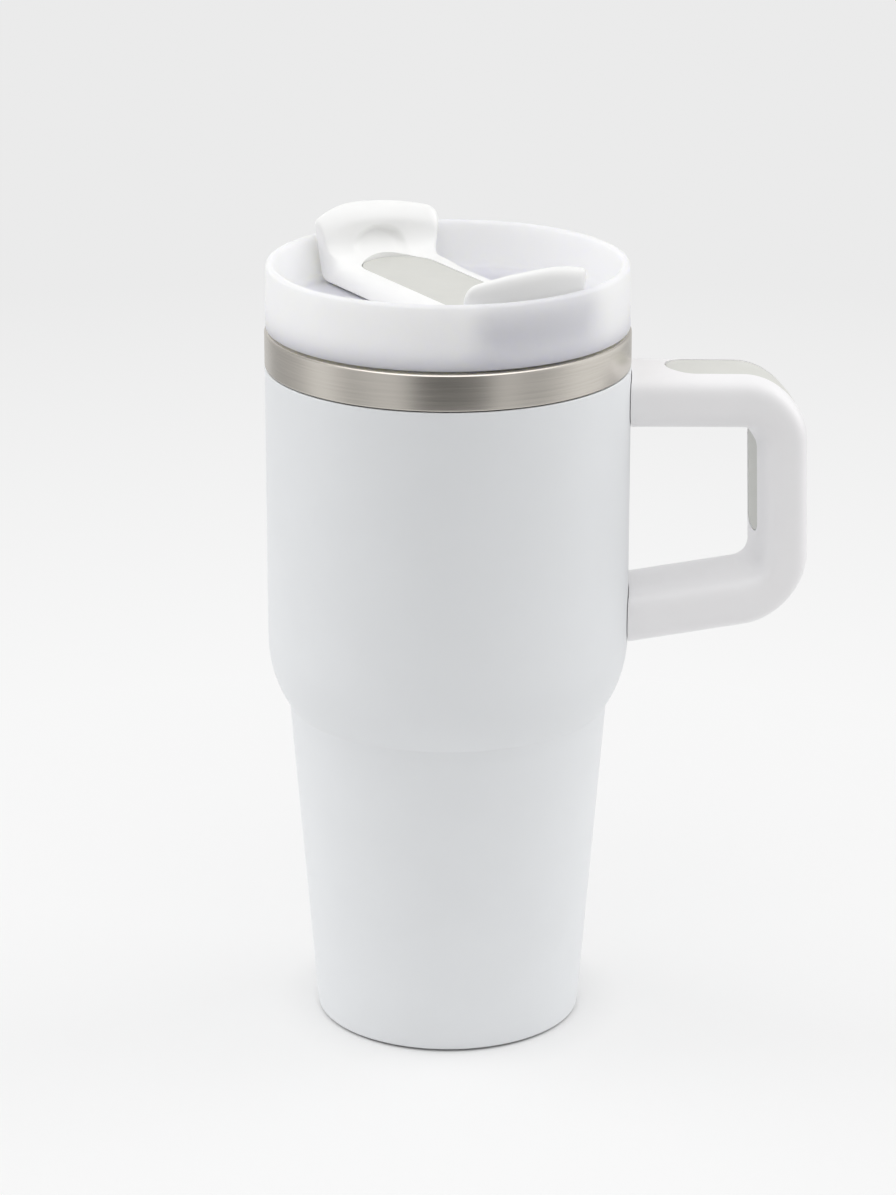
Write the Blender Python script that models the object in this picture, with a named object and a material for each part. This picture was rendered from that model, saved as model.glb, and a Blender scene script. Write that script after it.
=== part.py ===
"""Handled vacuum-insulated tumbler with a screw lid and a rotating cover.

Metres, +Z up. The origin is on the rest plane, on the cup's axis, and the handle points along +X.
Turned pieces are drawn as outlines of radius and height; a corner is (radius, height, rounding).
"""

import math

import bmesh
import bpy
from mathutils import Vector

MM = 0.001

# Fits and fineness
SEAT_GAP = 0.3 * MM
SEGMENTS = 40
SMALL_SEGMENTS = 24
CORNER_STEPS = 2
BEND_STEPS = 8
SHARP_ANGLE = math.radians(32)
EDGE_ANGLE = math.radians(50)
DOME_STEPS = 4
SOCKET_SIDES = 6
HALF_SHARES = (-1, -0.5, 0, 0.5, 1)

# Cup walls
BODY_RADIUS = 44.5 * MM
BASE_RADIUS = 32.9 * MM
NECK_RADIUS = 39.4 * MM
NECK_HEIGHT = 81.9 * MM
NECK_FILLET = 3 * MM
SHOULDER_RISE = 8.9 * MM
SHOULDER_FILLET = 19 * MM
UPPER_BODY_HEIGHT = 77.4 * MM
BAND_WIDTH = 9.1 * MM
BAND_WALL = 1.0 * MM
LIP_WIDTH = 3.3 * MM
LIP_THICKNESS = 1.2 * MM
LIP_ROUNDING = 1.0 * MM
SHELL_WALL = 0.8 * MM
SHELL_LIFT = 0.5 * MM
LINER_WALL = 0.8 * MM
LINER_CORNER = 7 * MM
VACUUM_GAP = 2.6 * MM

# Foot
BASE_RECESS = 6.0 * MM
PAN_WALL = 0.8 * MM
CAP_WALL = 1.0 * MM
CAP_ROUNDING = 0.6 * MM
DIMPLE_RADIUS = 6.0 * MM
DIMPLE_DEPTH = 1.5 * MM
EVACUATION_HOLE_RADIUS = 1.0 * MM
BEAD_HEIGHT = 1.1 * MM
GETTER_RADIUS = 5.0 * MM
GETTER_HEIGHT = 2.5 * MM
GETTER_SPACING = 3.5 * MM
GETTER_HEADROOM = 1.9 * MM

# Lid and its thread
COLLAR_GAP = 0.6 * MM
COLLAR_HEIGHT = 15.7 * MM
COLLAR_INSET = 0.3 * MM
COLLAR_TAPER = 0.3 * MM
COLLAR_WALL = 2.6 * MM
COLLAR_ROUNDING = 1.2 * MM
RECESS_DEPTH = 11.7 * MM
RECESS_FILLET = 1.2 * MM
FLOOR_THICKNESS = 2.0 * MM
SKIRT_WALL = 2.5 * MM
SKIRT_CLEARANCE = 0.8 * MM
SKIRT_LEAD_IN = 0.6 * MM
GASKET_HEIGHT = 2.6 * MM
THREAD_LEAD = 6.0 * MM
THREAD_TURNS = 1.1
THREAD_DEPTH = 1.0 * MM
THREAD_ROOT = 2.0 * MM
THREAD_CREST = 1.0 * MM
THREAD_CLEARANCE = 0.4 * MM
THREAD_FLANK_GAP = 0.3 * MM
THREAD_MARGIN = 0.5 * MM
THREAD_STEPS = 40
RUN_OUT = math.radians(20)

# Rotating cover: X runs along its bar and heights are above the lid's floor
COVER_ANGLE = math.radians(112.5)
BAR_WIDTH = 24 * MM
BAR_TOP = 5.4 * MM
BAR_EDGE = 1.4 * MM
BAR_BORDER = 2.6 * MM
TAB_WIDTH = 34 * MM
TAB_FOOT_WIDTH = 28 * MM
TAB_TOP = 18.8 * MM
TAB_THICKNESS = 4.5 * MM
TAB_ARCH = 3.4 * MM
TAB_CORNER = 4.0 * MM
TAB_BULGE = 2.3 * MM
TAB_CLEARANCE = 0.4 * MM
TAB_FILLET = 6.0 * MM
FLARE_LENGTH = 9.0 * MM
FLARE_ROUNDING = 7.0 * MM
SCOOP_RADIUS = 8.3 * MM
SCOOP_DEPTH = 2.3 * MM
INLAY_END_MARGIN = 1.9 * MM
INLAY_THICKNESS = 1.2 * MM
STEM_RADIUS = 4.0 * MM
STEM_CLEARANCE = 0.4 * MM
PIVOT_SEAL_WIDTH = 2.4 * MM
PIVOT_SEAL_THICKNESS = 0.9 * MM
PIVOT_SCREW_RADIUS = 1.5 * MM
PIVOT_SCREW_COVER = 1.0 * MM
PIVOT_HEAD_RADIUS = 3.5 * MM
PIVOT_HEAD_HEIGHT = 2.0 * MM
PIVOT_WASHER_RADIUS = 8.0 * MM
PIVOT_WASHER_THICKNESS = 1.2 * MM
SIP_LENGTH = 15 * MM
SIP_WIDTH = 8 * MM
SIP_MARGIN = 4.9 * MM
STRAW_RADIUS = 4.5 * MM
STRAW_MARGIN = 8.4 * MM
SEAL_PAD_MARGIN = 1.2 * MM
SEAL_PAD_THICKNESS = 1.3 * MM

# Handle
HANDLE_WIDTH = 24 * MM
ARM_THICKNESS = 14.0 * MM
GRIP_THICKNESS = 12.9 * MM
SECTION_POWER = 3.4
SECTION_POINTS = 24
UPPER_ARM_BELOW_BAND = 9.1 * MM
UPPER_ARM_FALL = 1.5 * MM
UPPER_REACH = 37.0 * MM
UPPER_INNER_BEND = 3.8 * MM
LOWER_ARM_ABOVE_SHOULDER = 13.1 * MM
LOWER_ARM_RISE = 4.6 * MM
LOWER_REACH = 38.3 * MM
LOWER_INNER_BEND = 4.4 * MM
OUTER_GRIP_BORDER = 5.4 * MM
INNER_GRIP_BORDER = 6.0 * MM
GRIP_INLAY_THICKNESS = 1.3 * MM
OUTER_GRIP_START = 8.8 * MM
OUTER_GRIP_MARGIN = 3.0 * MM
INNER_GRIP_TOP_MARGIN = 0.5 * MM
INNER_GRIP_LOW_MARGIN = 4.4 * MM
GRIP_END_STEPS = 5
ROW_SPOTS = 5

# Handle mounts: X runs out along the arm from the shell
WELD_PAD_BORDER = 3.4 * MM
WELD_PAD_DEPTH = 2.0 * MM
TONGUE_LENGTH = 14 * MM
TONGUE_BORDER = 7.0 * MM
SCREW_EDGE = 5.5 * MM
SCREW_RADIUS = 2.0 * MM
SCREW_HEAD_RADIUS = 3.4 * MM
SCREW_HEAD_HEIGHT = 1.8 * MM
SCREW_SOCKET_RADIUS = 1.4 * MM
SCREW_SOCKET_DEPTH = 0.9 * MM
SCREW_WEB = 1.6 * MM
SCREW_COVER = 1.0 * MM
PLUG_SINK = 0.2 * MM
PLUG_THICKNESS = 1.0 * MM

# Heights and radii that follow from the sizes above
SHOULDER_HEIGHT = NECK_HEIGHT + SHOULDER_RISE
BAND_HEIGHT = SHOULDER_HEIGHT + UPPER_BODY_HEIGHT
CUP_HEIGHT = BAND_HEIGHT + BAND_WIDTH
MOUTH_RADIUS = BODY_RADIUS - LIP_WIDTH
PAN_TOP = BASE_RECESS + PAN_WALL
GETTER_LOW = PAN_TOP + SEAT_GAP
LINER_FOOT = GETTER_LOW + GETTER_HEIGHT + GETTER_HEADROOM
LID_SEAT = CUP_HEIGHT + COLLAR_GAP
FLOOR_TOP = COLLAR_HEIGHT - RECESS_DEPTH
RECESS_RADIUS = BODY_RADIUS - COLLAR_INSET - COLLAR_TAPER - COLLAR_WALL
SKIRT_RADIUS = MOUTH_RADIUS - THREAD_DEPTH - SKIRT_CLEARANCE
GASKET_LOW = -SEAT_GAP - GASKET_HEIGHT
LINER_THREAD_HIGH = GASKET_LOW - THREAD_MARGIN - THREAD_ROOT / 2
LINER_THREAD_LOW = LINER_THREAD_HIGH - THREAD_LEAD * THREAD_TURNS
LID_THREAD_LOW = LINER_THREAD_LOW - (THREAD_ROOT + THREAD_CREST) / 2 - THREAD_FLANK_GAP
SKIRT_END = LID_THREAD_LOW - THREAD_ROOT / 2 - THREAD_MARGIN
INLAY_LOW = BAR_TOP - INLAY_THICKNESS
SKIRT_BORE = SKIRT_RADIUS - SKIRT_WALL
SIP_OFFSET = SKIRT_BORE - SIP_MARGIN - SIP_WIDTH / 2
STRAW_OFFSET = SKIRT_BORE - STRAW_MARGIN - STRAW_RADIUS
MOUTH_STEP = LID_SEAT + LINER_THREAD_LOW - THREAD_ROOT / 2 - THREAD_MARGIN
UPPER_ARM_HEIGHT = BAND_HEIGHT - UPPER_ARM_BELOW_BAND
LOWER_ARM_HEIGHT = SHOULDER_HEIGHT + LOWER_ARM_ABOVE_SHOULDER
PLUG_LOW = -ARM_THICKNESS / 2 + PLUG_SINK
SCREW_HEAD_LOW = PLUG_LOW + PLUG_THICKNESS + SEAT_GAP
SCREW_HEAD_TOP = SCREW_HEAD_LOW + SCREW_HEAD_HEIGHT
SCREW_SINK_TOP = SCREW_HEAD_TOP + SEAT_GAP
TONGUE_TOP = -SCREW_SINK_TOP - SCREW_WEB - SEAT_GAP
SHELL_CORNERS = (
    (BASE_RADIUS, SHELL_LIFT, 0),
    (NECK_RADIUS, NECK_HEIGHT, NECK_FILLET),
    (BODY_RADIUS, SHOULDER_HEIGHT, SHOULDER_FILLET),
    (BODY_RADIUS, BAND_HEIGHT - SEAT_GAP / 2, 0),
)


# Outlines

def rounded_corner(before, corner, after, rounding, steps):
    """Points that round one corner, kept within half of the runs beside it."""
    back = before - corner
    ahead = after - corner
    half_angle = back.angle(ahead) / 2
    room = min(back.length, ahead.length) / 2
    reach = min(rounding / math.tan(half_angle), room)
    radius = reach * math.tan(half_angle)
    middle = corner + (back.normalized() + ahead.normalized()).normalized() * (radius / math.sin(half_angle))
    start = corner + back.normalized() * reach - middle
    stop = corner + ahead.normalized() * reach - middle
    turn = math.atan2(start.x * stop.y - start.y * stop.x, start.dot(stop))
    points = []
    for step in range(steps + 1):
        angle = turn * step / steps
        points.append(middle + Vector((start.x * math.cos(angle) - start.y * math.sin(angle),
                                       start.x * math.sin(angle) + start.y * math.cos(angle))))
    return points


def rounded(corners, closed=False, steps=CORNER_STEPS):
    """An outline through corners of (x, y, rounding)."""
    spots = [Vector(corner[:2]) for corner in corners]
    points = []
    for index, (spot, corner) in enumerate(zip(spots, corners)):
        inside = closed or 0 < index < len(corners) - 1
        if corner[2] > 0 and inside:
            after = spots[(index + 1) % len(spots)]
            points += rounded_corner(spots[index - 1], spot, after, corner[2], steps)
        else:
            points.append(spot)
    return points


def inset(corners, distance):
    """Corners of a wall's path, moved towards the axis by a distance across the wall."""
    spots = [Vector(corner[:2]) for corner in corners]
    runs = [(after - before).normalized() for before, after in zip(spots, spots[1:])]
    moved = []
    for index, (spot, corner) in enumerate(zip(spots, corners)):
        first = runs[max(index - 1, 0)]
        second = runs[min(index, len(runs) - 1)]
        first_side = Vector((-first.y, first.x))
        second_side = Vector((-second.y, second.x))
        shift = (first_side + second_side) * (distance / (1 + first_side.dot(second_side)))
        towards_axis = first.x * second.y - first.y * second.x > 0
        rounding = corner[2] + (-distance if towards_axis else distance)
        moved.append((spot.x + shift.x, spot.y + shift.y, max(rounding, SHELL_WALL) if corner[2] else 0))
    return moved


def taper_radius(distance, height):
    """Radius of the lower wall at a height, at a distance inside the shell's outer face."""
    low, high = inset(SHELL_CORNERS, distance)[:2]
    share = (height - low[1]) / (high[1] - low[1])
    return low[0] + (high[0] - low[0]) * share


def stadium(length, width):
    """A slot's outline, long along X."""
    radius = width / 2
    middle = (length - width) / 2
    points = []
    for side in (1, -1):
        for step in range(SMALL_SEGMENTS // 2 + 1):
            angle = math.pi * step / (SMALL_SEGMENTS // 2) - math.pi / 2
            along = middle + radius * math.cos(angle)
            points.append(Vector((side * along, side * radius * math.sin(angle))))
    return points


# Bodies

def finish(name, hex_colour, roughness, metallic=0.0):
    """A plain material; the colour is an sRGB hex value."""
    channels = [int(hex_colour[place:place + 2], 16) / 255 for place in (0, 2, 4)]
    linear = [value / 12.92 if value <= 0.04045 else ((value + 0.055) / 1.055) ** 2.4 for value in channels]
    material = bpy.data.materials.new(name)
    material.use_nodes = True
    shader = material.node_tree.nodes["Principled BSDF"]
    shader.inputs["Base Color"].default_value = (*linear, 1)
    shader.inputs["Roughness"].default_value = roughness
    shader.inputs["Metallic"].default_value = metallic
    return material


def add_object(name, mesh, parent=None, location=(0, 0, 0), material=None):
    """An object from a bmesh; without a material it is a cutter or a guide."""
    bmesh.ops.remove_doubles(mesh, verts=mesh.verts, dist=SEAT_GAP / 100)
    bmesh.ops.recalc_face_normals(mesh, faces=mesh.faces)
    data = bpy.data.meshes.new(name)
    mesh.to_mesh(data)
    mesh.free()
    data.shade_smooth()
    data.set_sharp_from_angle(angle=SHARP_ANGLE)
    thing = bpy.data.objects.new(name, data)
    thing.parent = parent
    thing.location = location
    bpy.context.scene.collection.objects.link(thing)
    if material:
        data.materials.append(material)
    else:
        thing.hide_render = True
        thing.display_type = "WIRE"
    return thing


def add_empty(name, location, rotation=(0, 0, 0), parent=None):
    """A joint axis or a mount's frame."""
    empty = bpy.data.objects.new(name, None)
    empty.location = location
    empty.rotation_euler = rotation
    empty.parent = parent
    bpy.context.scene.collection.objects.link(empty)
    return empty


def turned(name, outline, segments=SEGMENTS, **placing):
    """A body turned about Z; an outline that doesn't start on the axis is a closed loop."""
    mesh = bmesh.new()
    spots = [mesh.verts.new((point[0], 0, point[1])) for point in outline]
    pairs = list(zip(spots, spots[1:]))
    if outline[0][0] > 0:
        pairs.append((spots[-1], spots[0]))
    edges = [mesh.edges.new(pair) for pair in pairs]
    bmesh.ops.spin(mesh, geom=spots + edges, cent=(0, 0, 0), axis=(0, 0, 1),
                   angle=math.tau, steps=segments, use_merge=True)
    return add_object(name, mesh, **placing)


def prism(name, outline, low, high, lay=lambda x, y, z: (x, y, z), **placing):
    """A body extruded from low to high; lay says which axes the outline and the extrusion take."""
    mesh = bmesh.new()
    face = mesh.faces.new([mesh.verts.new(lay(point[0], point[1], low)) for point in outline])
    raised = bmesh.ops.extrude_face_region(mesh, geom=[face])["geom"]
    lift = Vector(lay(0, 0, high)) - Vector(lay(0, 0, low))
    corners = [item for item in raised if isinstance(item, bmesh.types.BMVert)]
    bmesh.ops.translate(mesh, vec=lift, verts=corners)
    return add_object(name, mesh, **placing)


def block(name, low, high, **placing):
    """A box between two corners."""
    outline = [(low[0], low[1]), (high[0], low[1]), (high[0], high[1]), (low[0], high[1])]
    return prism(name, outline, low[2], high[2], **placing)


def ringed(name, rings, closing, **placing):
    """A body through rings of equal count; closing pairs the ring spots that each end's faces join."""
    mesh = bmesh.new()
    rows = [[mesh.verts.new(point) for point in ring] for ring in rings]
    count = len(rows[0])
    for first, second in zip(rows, rows[1:]):
        for spot in range(count):
            after = (spot + 1) % count
            mesh.faces.new((first[spot], first[after], second[after], second[spot]))
    for row in (rows[0], rows[-1]):
        for corners in closing:
            mesh.faces.new([row[spot] for spot in corners])
    return add_object(name, mesh, **placing)


def combine(target, other, operation="DIFFERENCE"):
    """Cuts, joins or trims a body by another."""
    modifier = target.modifiers.new(other.name, "BOOLEAN")
    modifier.operation = operation
    modifier.solver = "EXACT"
    modifier.object = other


def thread_ridge(name, low, wall_radius, crest_radius, parent):
    """A right-hand ridge round Z that sinks back into its wall at both ends."""
    outward = 1 if crest_radius > wall_radius else -1
    embed = LINER_WALL / 2
    root_radius = wall_radius - outward * embed
    sunk_radius = wall_radius - outward * embed / 2
    last = round(THREAD_STEPS * THREAD_TURNS)
    half_facet = math.pi / SEGMENTS
    rings = []
    for step in range(last + 1):
        turn = math.tau * THREAD_TURNS * step / last
        share = min(turn / RUN_OUT, (math.tau * THREAD_TURNS - turn) / RUN_OUT, 1)
        crest = sunk_radius + (crest_radius - sunk_radius) * share
        middle = low + THREAD_LEAD * turn / math.tau
        angle = turn + half_facet
        section = ((root_radius, -THREAD_ROOT / 2), (crest, -THREAD_CREST / 2),
                   (crest, THREAD_CREST / 2), (root_radius, THREAD_ROOT / 2))
        rings.append([(radius * math.cos(angle), radius * math.sin(angle), middle + height)
                      for radius, height in section])
    return ringed(name, rings, [(0, 1, 2, 3)], parent=parent)


# Cup

def make_outer_shell():
    outside = rounded(SHELL_CORNERS)
    inside = rounded(inset(SHELL_CORNERS, SHELL_WALL))
    turned("outer_shell", outside + inside[::-1], material=finish("powder_coat", "E4E6E9", 0.5))


def make_inner_liner(lid_axis):
    """The liner's mouth rolls over and comes down outside as the bare band."""
    outer_way = SHELL_WALL + VACUUM_GAP
    inner_way = outer_way + LINER_WALL
    inside = inset(SHELL_CORNERS, inner_way)
    outside = inset(SHELL_CORNERS, outer_way)
    floor = LINER_FOOT + LINER_WALL
    step_low = MOUTH_STEP - LIP_WIDTH / 2
    band_low = BAND_HEIGHT + SEAT_GAP / 2
    fold_top = CUP_HEIGHT - LIP_THICKNESS
    corners = [
        (0, floor, 0),
        (taper_radius(inner_way, floor), floor, LINER_CORNER - LINER_WALL),
        inside[1],
        inside[2],
        (inside[3][0], step_low, 0),
        (MOUTH_RADIUS, MOUTH_STEP, 0),
        (MOUTH_RADIUS, CUP_HEIGHT, LIP_ROUNDING),
        (BODY_RADIUS, CUP_HEIGHT, LIP_ROUNDING),
        (BODY_RADIUS, band_low, 0),
        (BODY_RADIUS - BAND_WALL, band_low, 0),
        (BODY_RADIUS - BAND_WALL, fold_top, 0),
        (MOUTH_RADIUS + LINER_WALL, fold_top, 0),
        (MOUTH_RADIUS + LINER_WALL, MOUTH_STEP, 0),
        (outside[3][0], step_low, 0),
        outside[2],
        outside[1],
        (taper_radius(outer_way, LINER_FOOT), LINER_FOOT, LINER_CORNER),
        (0, LINER_FOOT, 0),
    ]
    liner = turned("inner_liner", rounded(corners), material=finish("brushed_steel", "C4C0BA", 0.3, 1.0))
    crest_radius = MOUTH_RADIUS - THREAD_DEPTH
    ridge = thread_ridge("liner_thread", LINER_THREAD_LOW, MOUTH_RADIUS, crest_radius, lid_axis)
    combine(liner, ridge, "UNION")


def make_foot():
    """The pan that closes the vacuum space, its sealed hole, the getter and the cap below."""
    pan_radius = taper_radius(SHELL_WALL, CAP_WALL) - SEAT_GAP
    dimple_foot = DIMPLE_RADIUS + DIMPLE_DEPTH
    pan = [
        (EVACUATION_HOLE_RADIUS, BASE_RECESS + DIMPLE_DEPTH),
        (DIMPLE_RADIUS, BASE_RECESS + DIMPLE_DEPTH),
        (dimple_foot, BASE_RECESS),
        (pan_radius - PAN_WALL, BASE_RECESS),
        (pan_radius - PAN_WALL, CAP_WALL),
        (pan_radius, CAP_WALL),
        (pan_radius, PAN_TOP),
        (dimple_foot, PAN_TOP),
        (DIMPLE_RADIUS, PAN_TOP + DIMPLE_DEPTH),
        (EVACUATION_HOLE_RADIUS, PAN_TOP + DIMPLE_DEPTH),
    ]
    turned("outer_base", pan, material=finish("pressed_steel", "B9B9B8", 0.4, 1.0))
    bead_top = BASE_RECESS + DIMPLE_DEPTH - SEAT_GAP
    bead_radius = DIMPLE_RADIUS - BEAD_HEIGHT
    bead = [(0, bead_top - BEAD_HEIGHT), (bead_radius - BEAD_HEIGHT, bead_top - BEAD_HEIGHT),
            (bead_radius, bead_top), (0, bead_top)]
    turned("seal_bead", bead, SMALL_SEGMENTS, material=finish("solder_glass", "6B7076", 0.2))
    capsule = [(0, 0), (GETTER_RADIUS, 0), (GETTER_RADIUS, GETTER_HEIGHT), (0, GETTER_HEIGHT)]
    getter_place = (dimple_foot + GETTER_SPACING + GETTER_RADIUS, 0, GETTER_LOW)
    turned("getter", capsule, SMALL_SEGMENTS, location=getter_place,
           material=finish("getter_alloy", "8C8A86", 0.6, 1.0))
    cap_radius = pan_radius - PAN_WALL - SEAT_GAP
    rim_top = BASE_RECESS - SEAT_GAP
    cap_bore = cap_radius - CAP_WALL
    cap = [(0, 0, 0), (cap_radius, 0, CAP_ROUNDING), (cap_radius, rim_top, 0), (cap_bore, rim_top, 0),
           (cap_bore, CAP_WALL, 0), (0, CAP_WALL, 0)]
    turned("base_cap", rounded(cap), material=finish("cap_steel", "B4B4B2", 0.42, 1.0))


# Lid

def make_lid(lid_axis, cover_axis):
    """Collar, floor and threaded skirt in one moulding, with its gasket."""
    foot_radius = BODY_RADIUS - COLLAR_INSET
    rim_radius = foot_radius - COLLAR_TAPER
    seal_radius = STEM_RADIUS + SEAT_GAP + PIVOT_SEAL_WIDTH + SEAT_GAP
    seal_floor = FLOOR_TOP - PIVOT_SEAL_THICKNESS - SEAT_GAP
    bore_radius = STEM_RADIUS + STEM_CLEARANCE
    floor_low = FLOOR_TOP - FLOOR_THICKNESS
    corners = [
        (bore_radius, floor_low, 0),
        (bore_radius, seal_floor, 0),
        (seal_radius, seal_floor, 0),
        (seal_radius, FLOOR_TOP, 0),
        (RECESS_RADIUS, FLOOR_TOP, RECESS_FILLET),
        (RECESS_RADIUS, COLLAR_HEIGHT, COLLAR_ROUNDING),
        (rim_radius, COLLAR_HEIGHT, COLLAR_ROUNDING),
        (foot_radius, 0, COLLAR_INSET),
        (SKIRT_RADIUS, 0, 0),
        (SKIRT_RADIUS, SKIRT_END + SKIRT_LEAD_IN, 0),
        (SKIRT_RADIUS - SKIRT_LEAD_IN, SKIRT_END, 0),
        (SKIRT_BORE, SKIRT_END, 0),
        (SKIRT_BORE, floor_low, SKIRT_WALL / 2),
    ]
    lid = turned("lid_body", rounded(corners, closed=True), parent=lid_axis,
                 material=finish("frosted_plastic", "E8EAF0", 0.45))
    crest_radius = MOUTH_RADIUS - THREAD_CLEARANCE
    ridge = thread_ridge("lid_thread", LID_THREAD_LOW, SKIRT_RADIUS, crest_radius, lid_axis)
    combine(lid, ridge, "UNION")
    cut_low = -2 * FLOOR_THICKNESS
    slot = [Vector((point.y - SIP_OFFSET, point.x)) for point in stadium(SIP_LENGTH, SIP_WIDTH)]
    combine(lid, prism("sip_slot_cutter", slot, cut_low, FLOOR_THICKNESS, parent=cover_axis))
    straw_width = 2 * STRAW_RADIUS
    hole = [Vector((point.x + STRAW_OFFSET, point.y)) for point in stadium(straw_width, straw_width)]
    combine(lid, prism("straw_hole_cutter", hole, cut_low, FLOOR_THICKNESS, parent=cover_axis))
    ring = [(SKIRT_RADIUS + SEAT_GAP, GASKET_LOW), (MOUTH_RADIUS - SEAT_GAP, GASKET_LOW),
            (MOUTH_RADIUS - SEAT_GAP, -SEAT_GAP), (SKIRT_RADIUS + SEAT_GAP, -SEAT_GAP)]
    turned("lid_gasket", ring, parent=lid_axis, material=finish("silicone_ring", "E6E6E2", 0.6))


# Rotating cover

def cover_plan(corner_reach):
    """Half of the cover's outline from above, then turned half round for the other half."""
    half_bar = BAR_WIDTH / 2
    half_tab = TAB_WIDTH / 2
    wide = half_tab + TAB_CLEARANCE
    flare_end = corner_reach + TAB_BULGE - TAB_THICKNESS
    corners = [(flare_end - FLARE_LENGTH, -half_bar, FLARE_ROUNDING), (flare_end, -wide, 0)]
    for share in HALF_SHARES:
        bulge = TAB_BULGE * (1 - (share * wide / half_tab) ** 2)
        corners.append((corner_reach + bulge, share * wide, 0))
    corners += [(flare_end, wide, 0), (flare_end - FLARE_LENGTH, half_bar, FLARE_ROUNDING)]
    return rounded(corners + [(-x, -y, rounding) for x, y, rounding in corners], closed=True)


def make_cover(cover_axis):
    """The bar with a raised tab at each end, from its outlines seen from above, the side and the end."""
    half_tab = TAB_WIDTH / 2
    corner_reach = math.sqrt((RECESS_RADIUS - TAB_CLEARANCE) ** 2 - half_tab ** 2)
    reach = corner_reach + TAB_BULGE
    tab_face = reach - TAB_THICKNESS
    bar = prism("cover_bar", cover_plan(corner_reach), SEAT_GAP, TAB_TOP + BAR_TOP, parent=cover_axis,
                material=finish("gloss_white_plastic", "F4F4F3", 0.3))

    past_end = reach + TAB_THICKNESS
    past_top = TAB_TOP + 2 * BAR_TOP
    right = [(past_end, -BAR_TOP, 0), (past_end, past_top, 0),
             (tab_face, past_top, 0), (tab_face, BAR_TOP, TAB_FILLET)]
    left = [(-x, height, rounding) for x, height, rounding in right[::-1]]
    side = prism("cover_side", rounded(right + left, closed=True), -TAB_WIDTH, TAB_WIDTH,
                 lay=lambda x, y, z: (x, z, y), parent=cover_axis)
    combine(bar, side, "INTERSECT")

    half_foot = TAB_FOOT_WIDTH / 2
    shoulder = TAB_TOP - TAB_ARCH
    arch = [(half_foot, -BAR_TOP, 0), (half_foot, 0, 0), (half_tab, shoulder, TAB_CORNER)]
    arch += [(half_tab * share, TAB_TOP - TAB_ARCH * share ** 2, 0) for share in HALF_SHARES[3:0:-1]]
    arch += [(-half_tab, shoulder, TAB_CORNER), (-half_foot, 0, 0), (-half_foot, -BAR_TOP, 0)]
    end = prism("cover_end", rounded(arch, closed=True), -past_end, past_end,
                lay=lambda x, y, z: (z, x, y), parent=cover_axis)
    combine(bar, end, "INTERSECT")

    edges = bar.modifiers.new("soft_edges", "BEVEL")
    edges.width = BAR_EDGE
    edges.segments = CORNER_STEPS
    edges.limit_method = "ANGLE"
    edges.angle_limit = EDGE_ANGLE

    for side_sign in (1, -1):
        angles = [math.pi / 2 * step / DOME_STEPS for step in range(DOME_STEPS)]
        dome = [(0, 0)]
        dome += [(SCOOP_RADIUS * math.cos(angle), SCOOP_RADIUS * math.sin(angle)) for angle in angles]
        dome.append((0, SCOOP_RADIUS))
        place = side_sign * (tab_face + SCOOP_DEPTH - SCOOP_RADIUS)
        foot = BAR_TOP + SEAT_GAP / 4
        scoop = turned("scoop_cutter", dome, SMALL_SEGMENTS, parent=cover_axis, location=(place, 0, foot))
        combine(bar, scoop)

    length = 2 * (tab_face - INLAY_END_MARGIN)
    width = BAR_WIDTH - 2 * BAR_BORDER
    pocket = stadium(length + 2 * SEAT_GAP, width + 2 * SEAT_GAP)
    combine(bar, prism("inlay_pocket_cutter", pocket, INLAY_LOW - SEAT_GAP, BAR_TOP + INLAY_THICKNESS,
                       parent=cover_axis))
    prism("cover_inlay", stadium(length, width), INLAY_LOW, BAR_TOP, parent=cover_axis,
          material=finish("grey_soft_pad", "D9DAD5", 0.6))
    make_cover_pads(bar, cover_axis)
    make_pivot(bar, cover_axis)


def make_cover_pads(bar, cover_axis):
    """Silicone pads let into the bar's underside, over the sip slot and the straw hole."""
    straw_pad = 2 * (STRAW_RADIUS + SEAL_PAD_MARGIN)
    pads = (("sip_seal", -SIP_OFFSET, SIP_LENGTH + 2 * SEAL_PAD_MARGIN, SIP_WIDTH + 2 * SEAL_PAD_MARGIN),
            ("straw_seal", STRAW_OFFSET, straw_pad, straw_pad))
    for name, offset, length, width in pads:
        shape = [(point.y + offset, point.x) for point in stadium(length, width)]
        room = [(point.y + offset, point.x) for point in stadium(length + 2 * SEAT_GAP, width + 2 * SEAT_GAP)]
        top = SEAT_GAP + SEAL_PAD_THICKNESS
        combine(bar, prism(name + "_cutter", room, -top, top + SEAT_GAP, parent=cover_axis))
        prism(name, shape, SEAT_GAP, top, parent=cover_axis,
              material=finish(name + "_silicone", "DFE1E0", 0.6))


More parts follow.
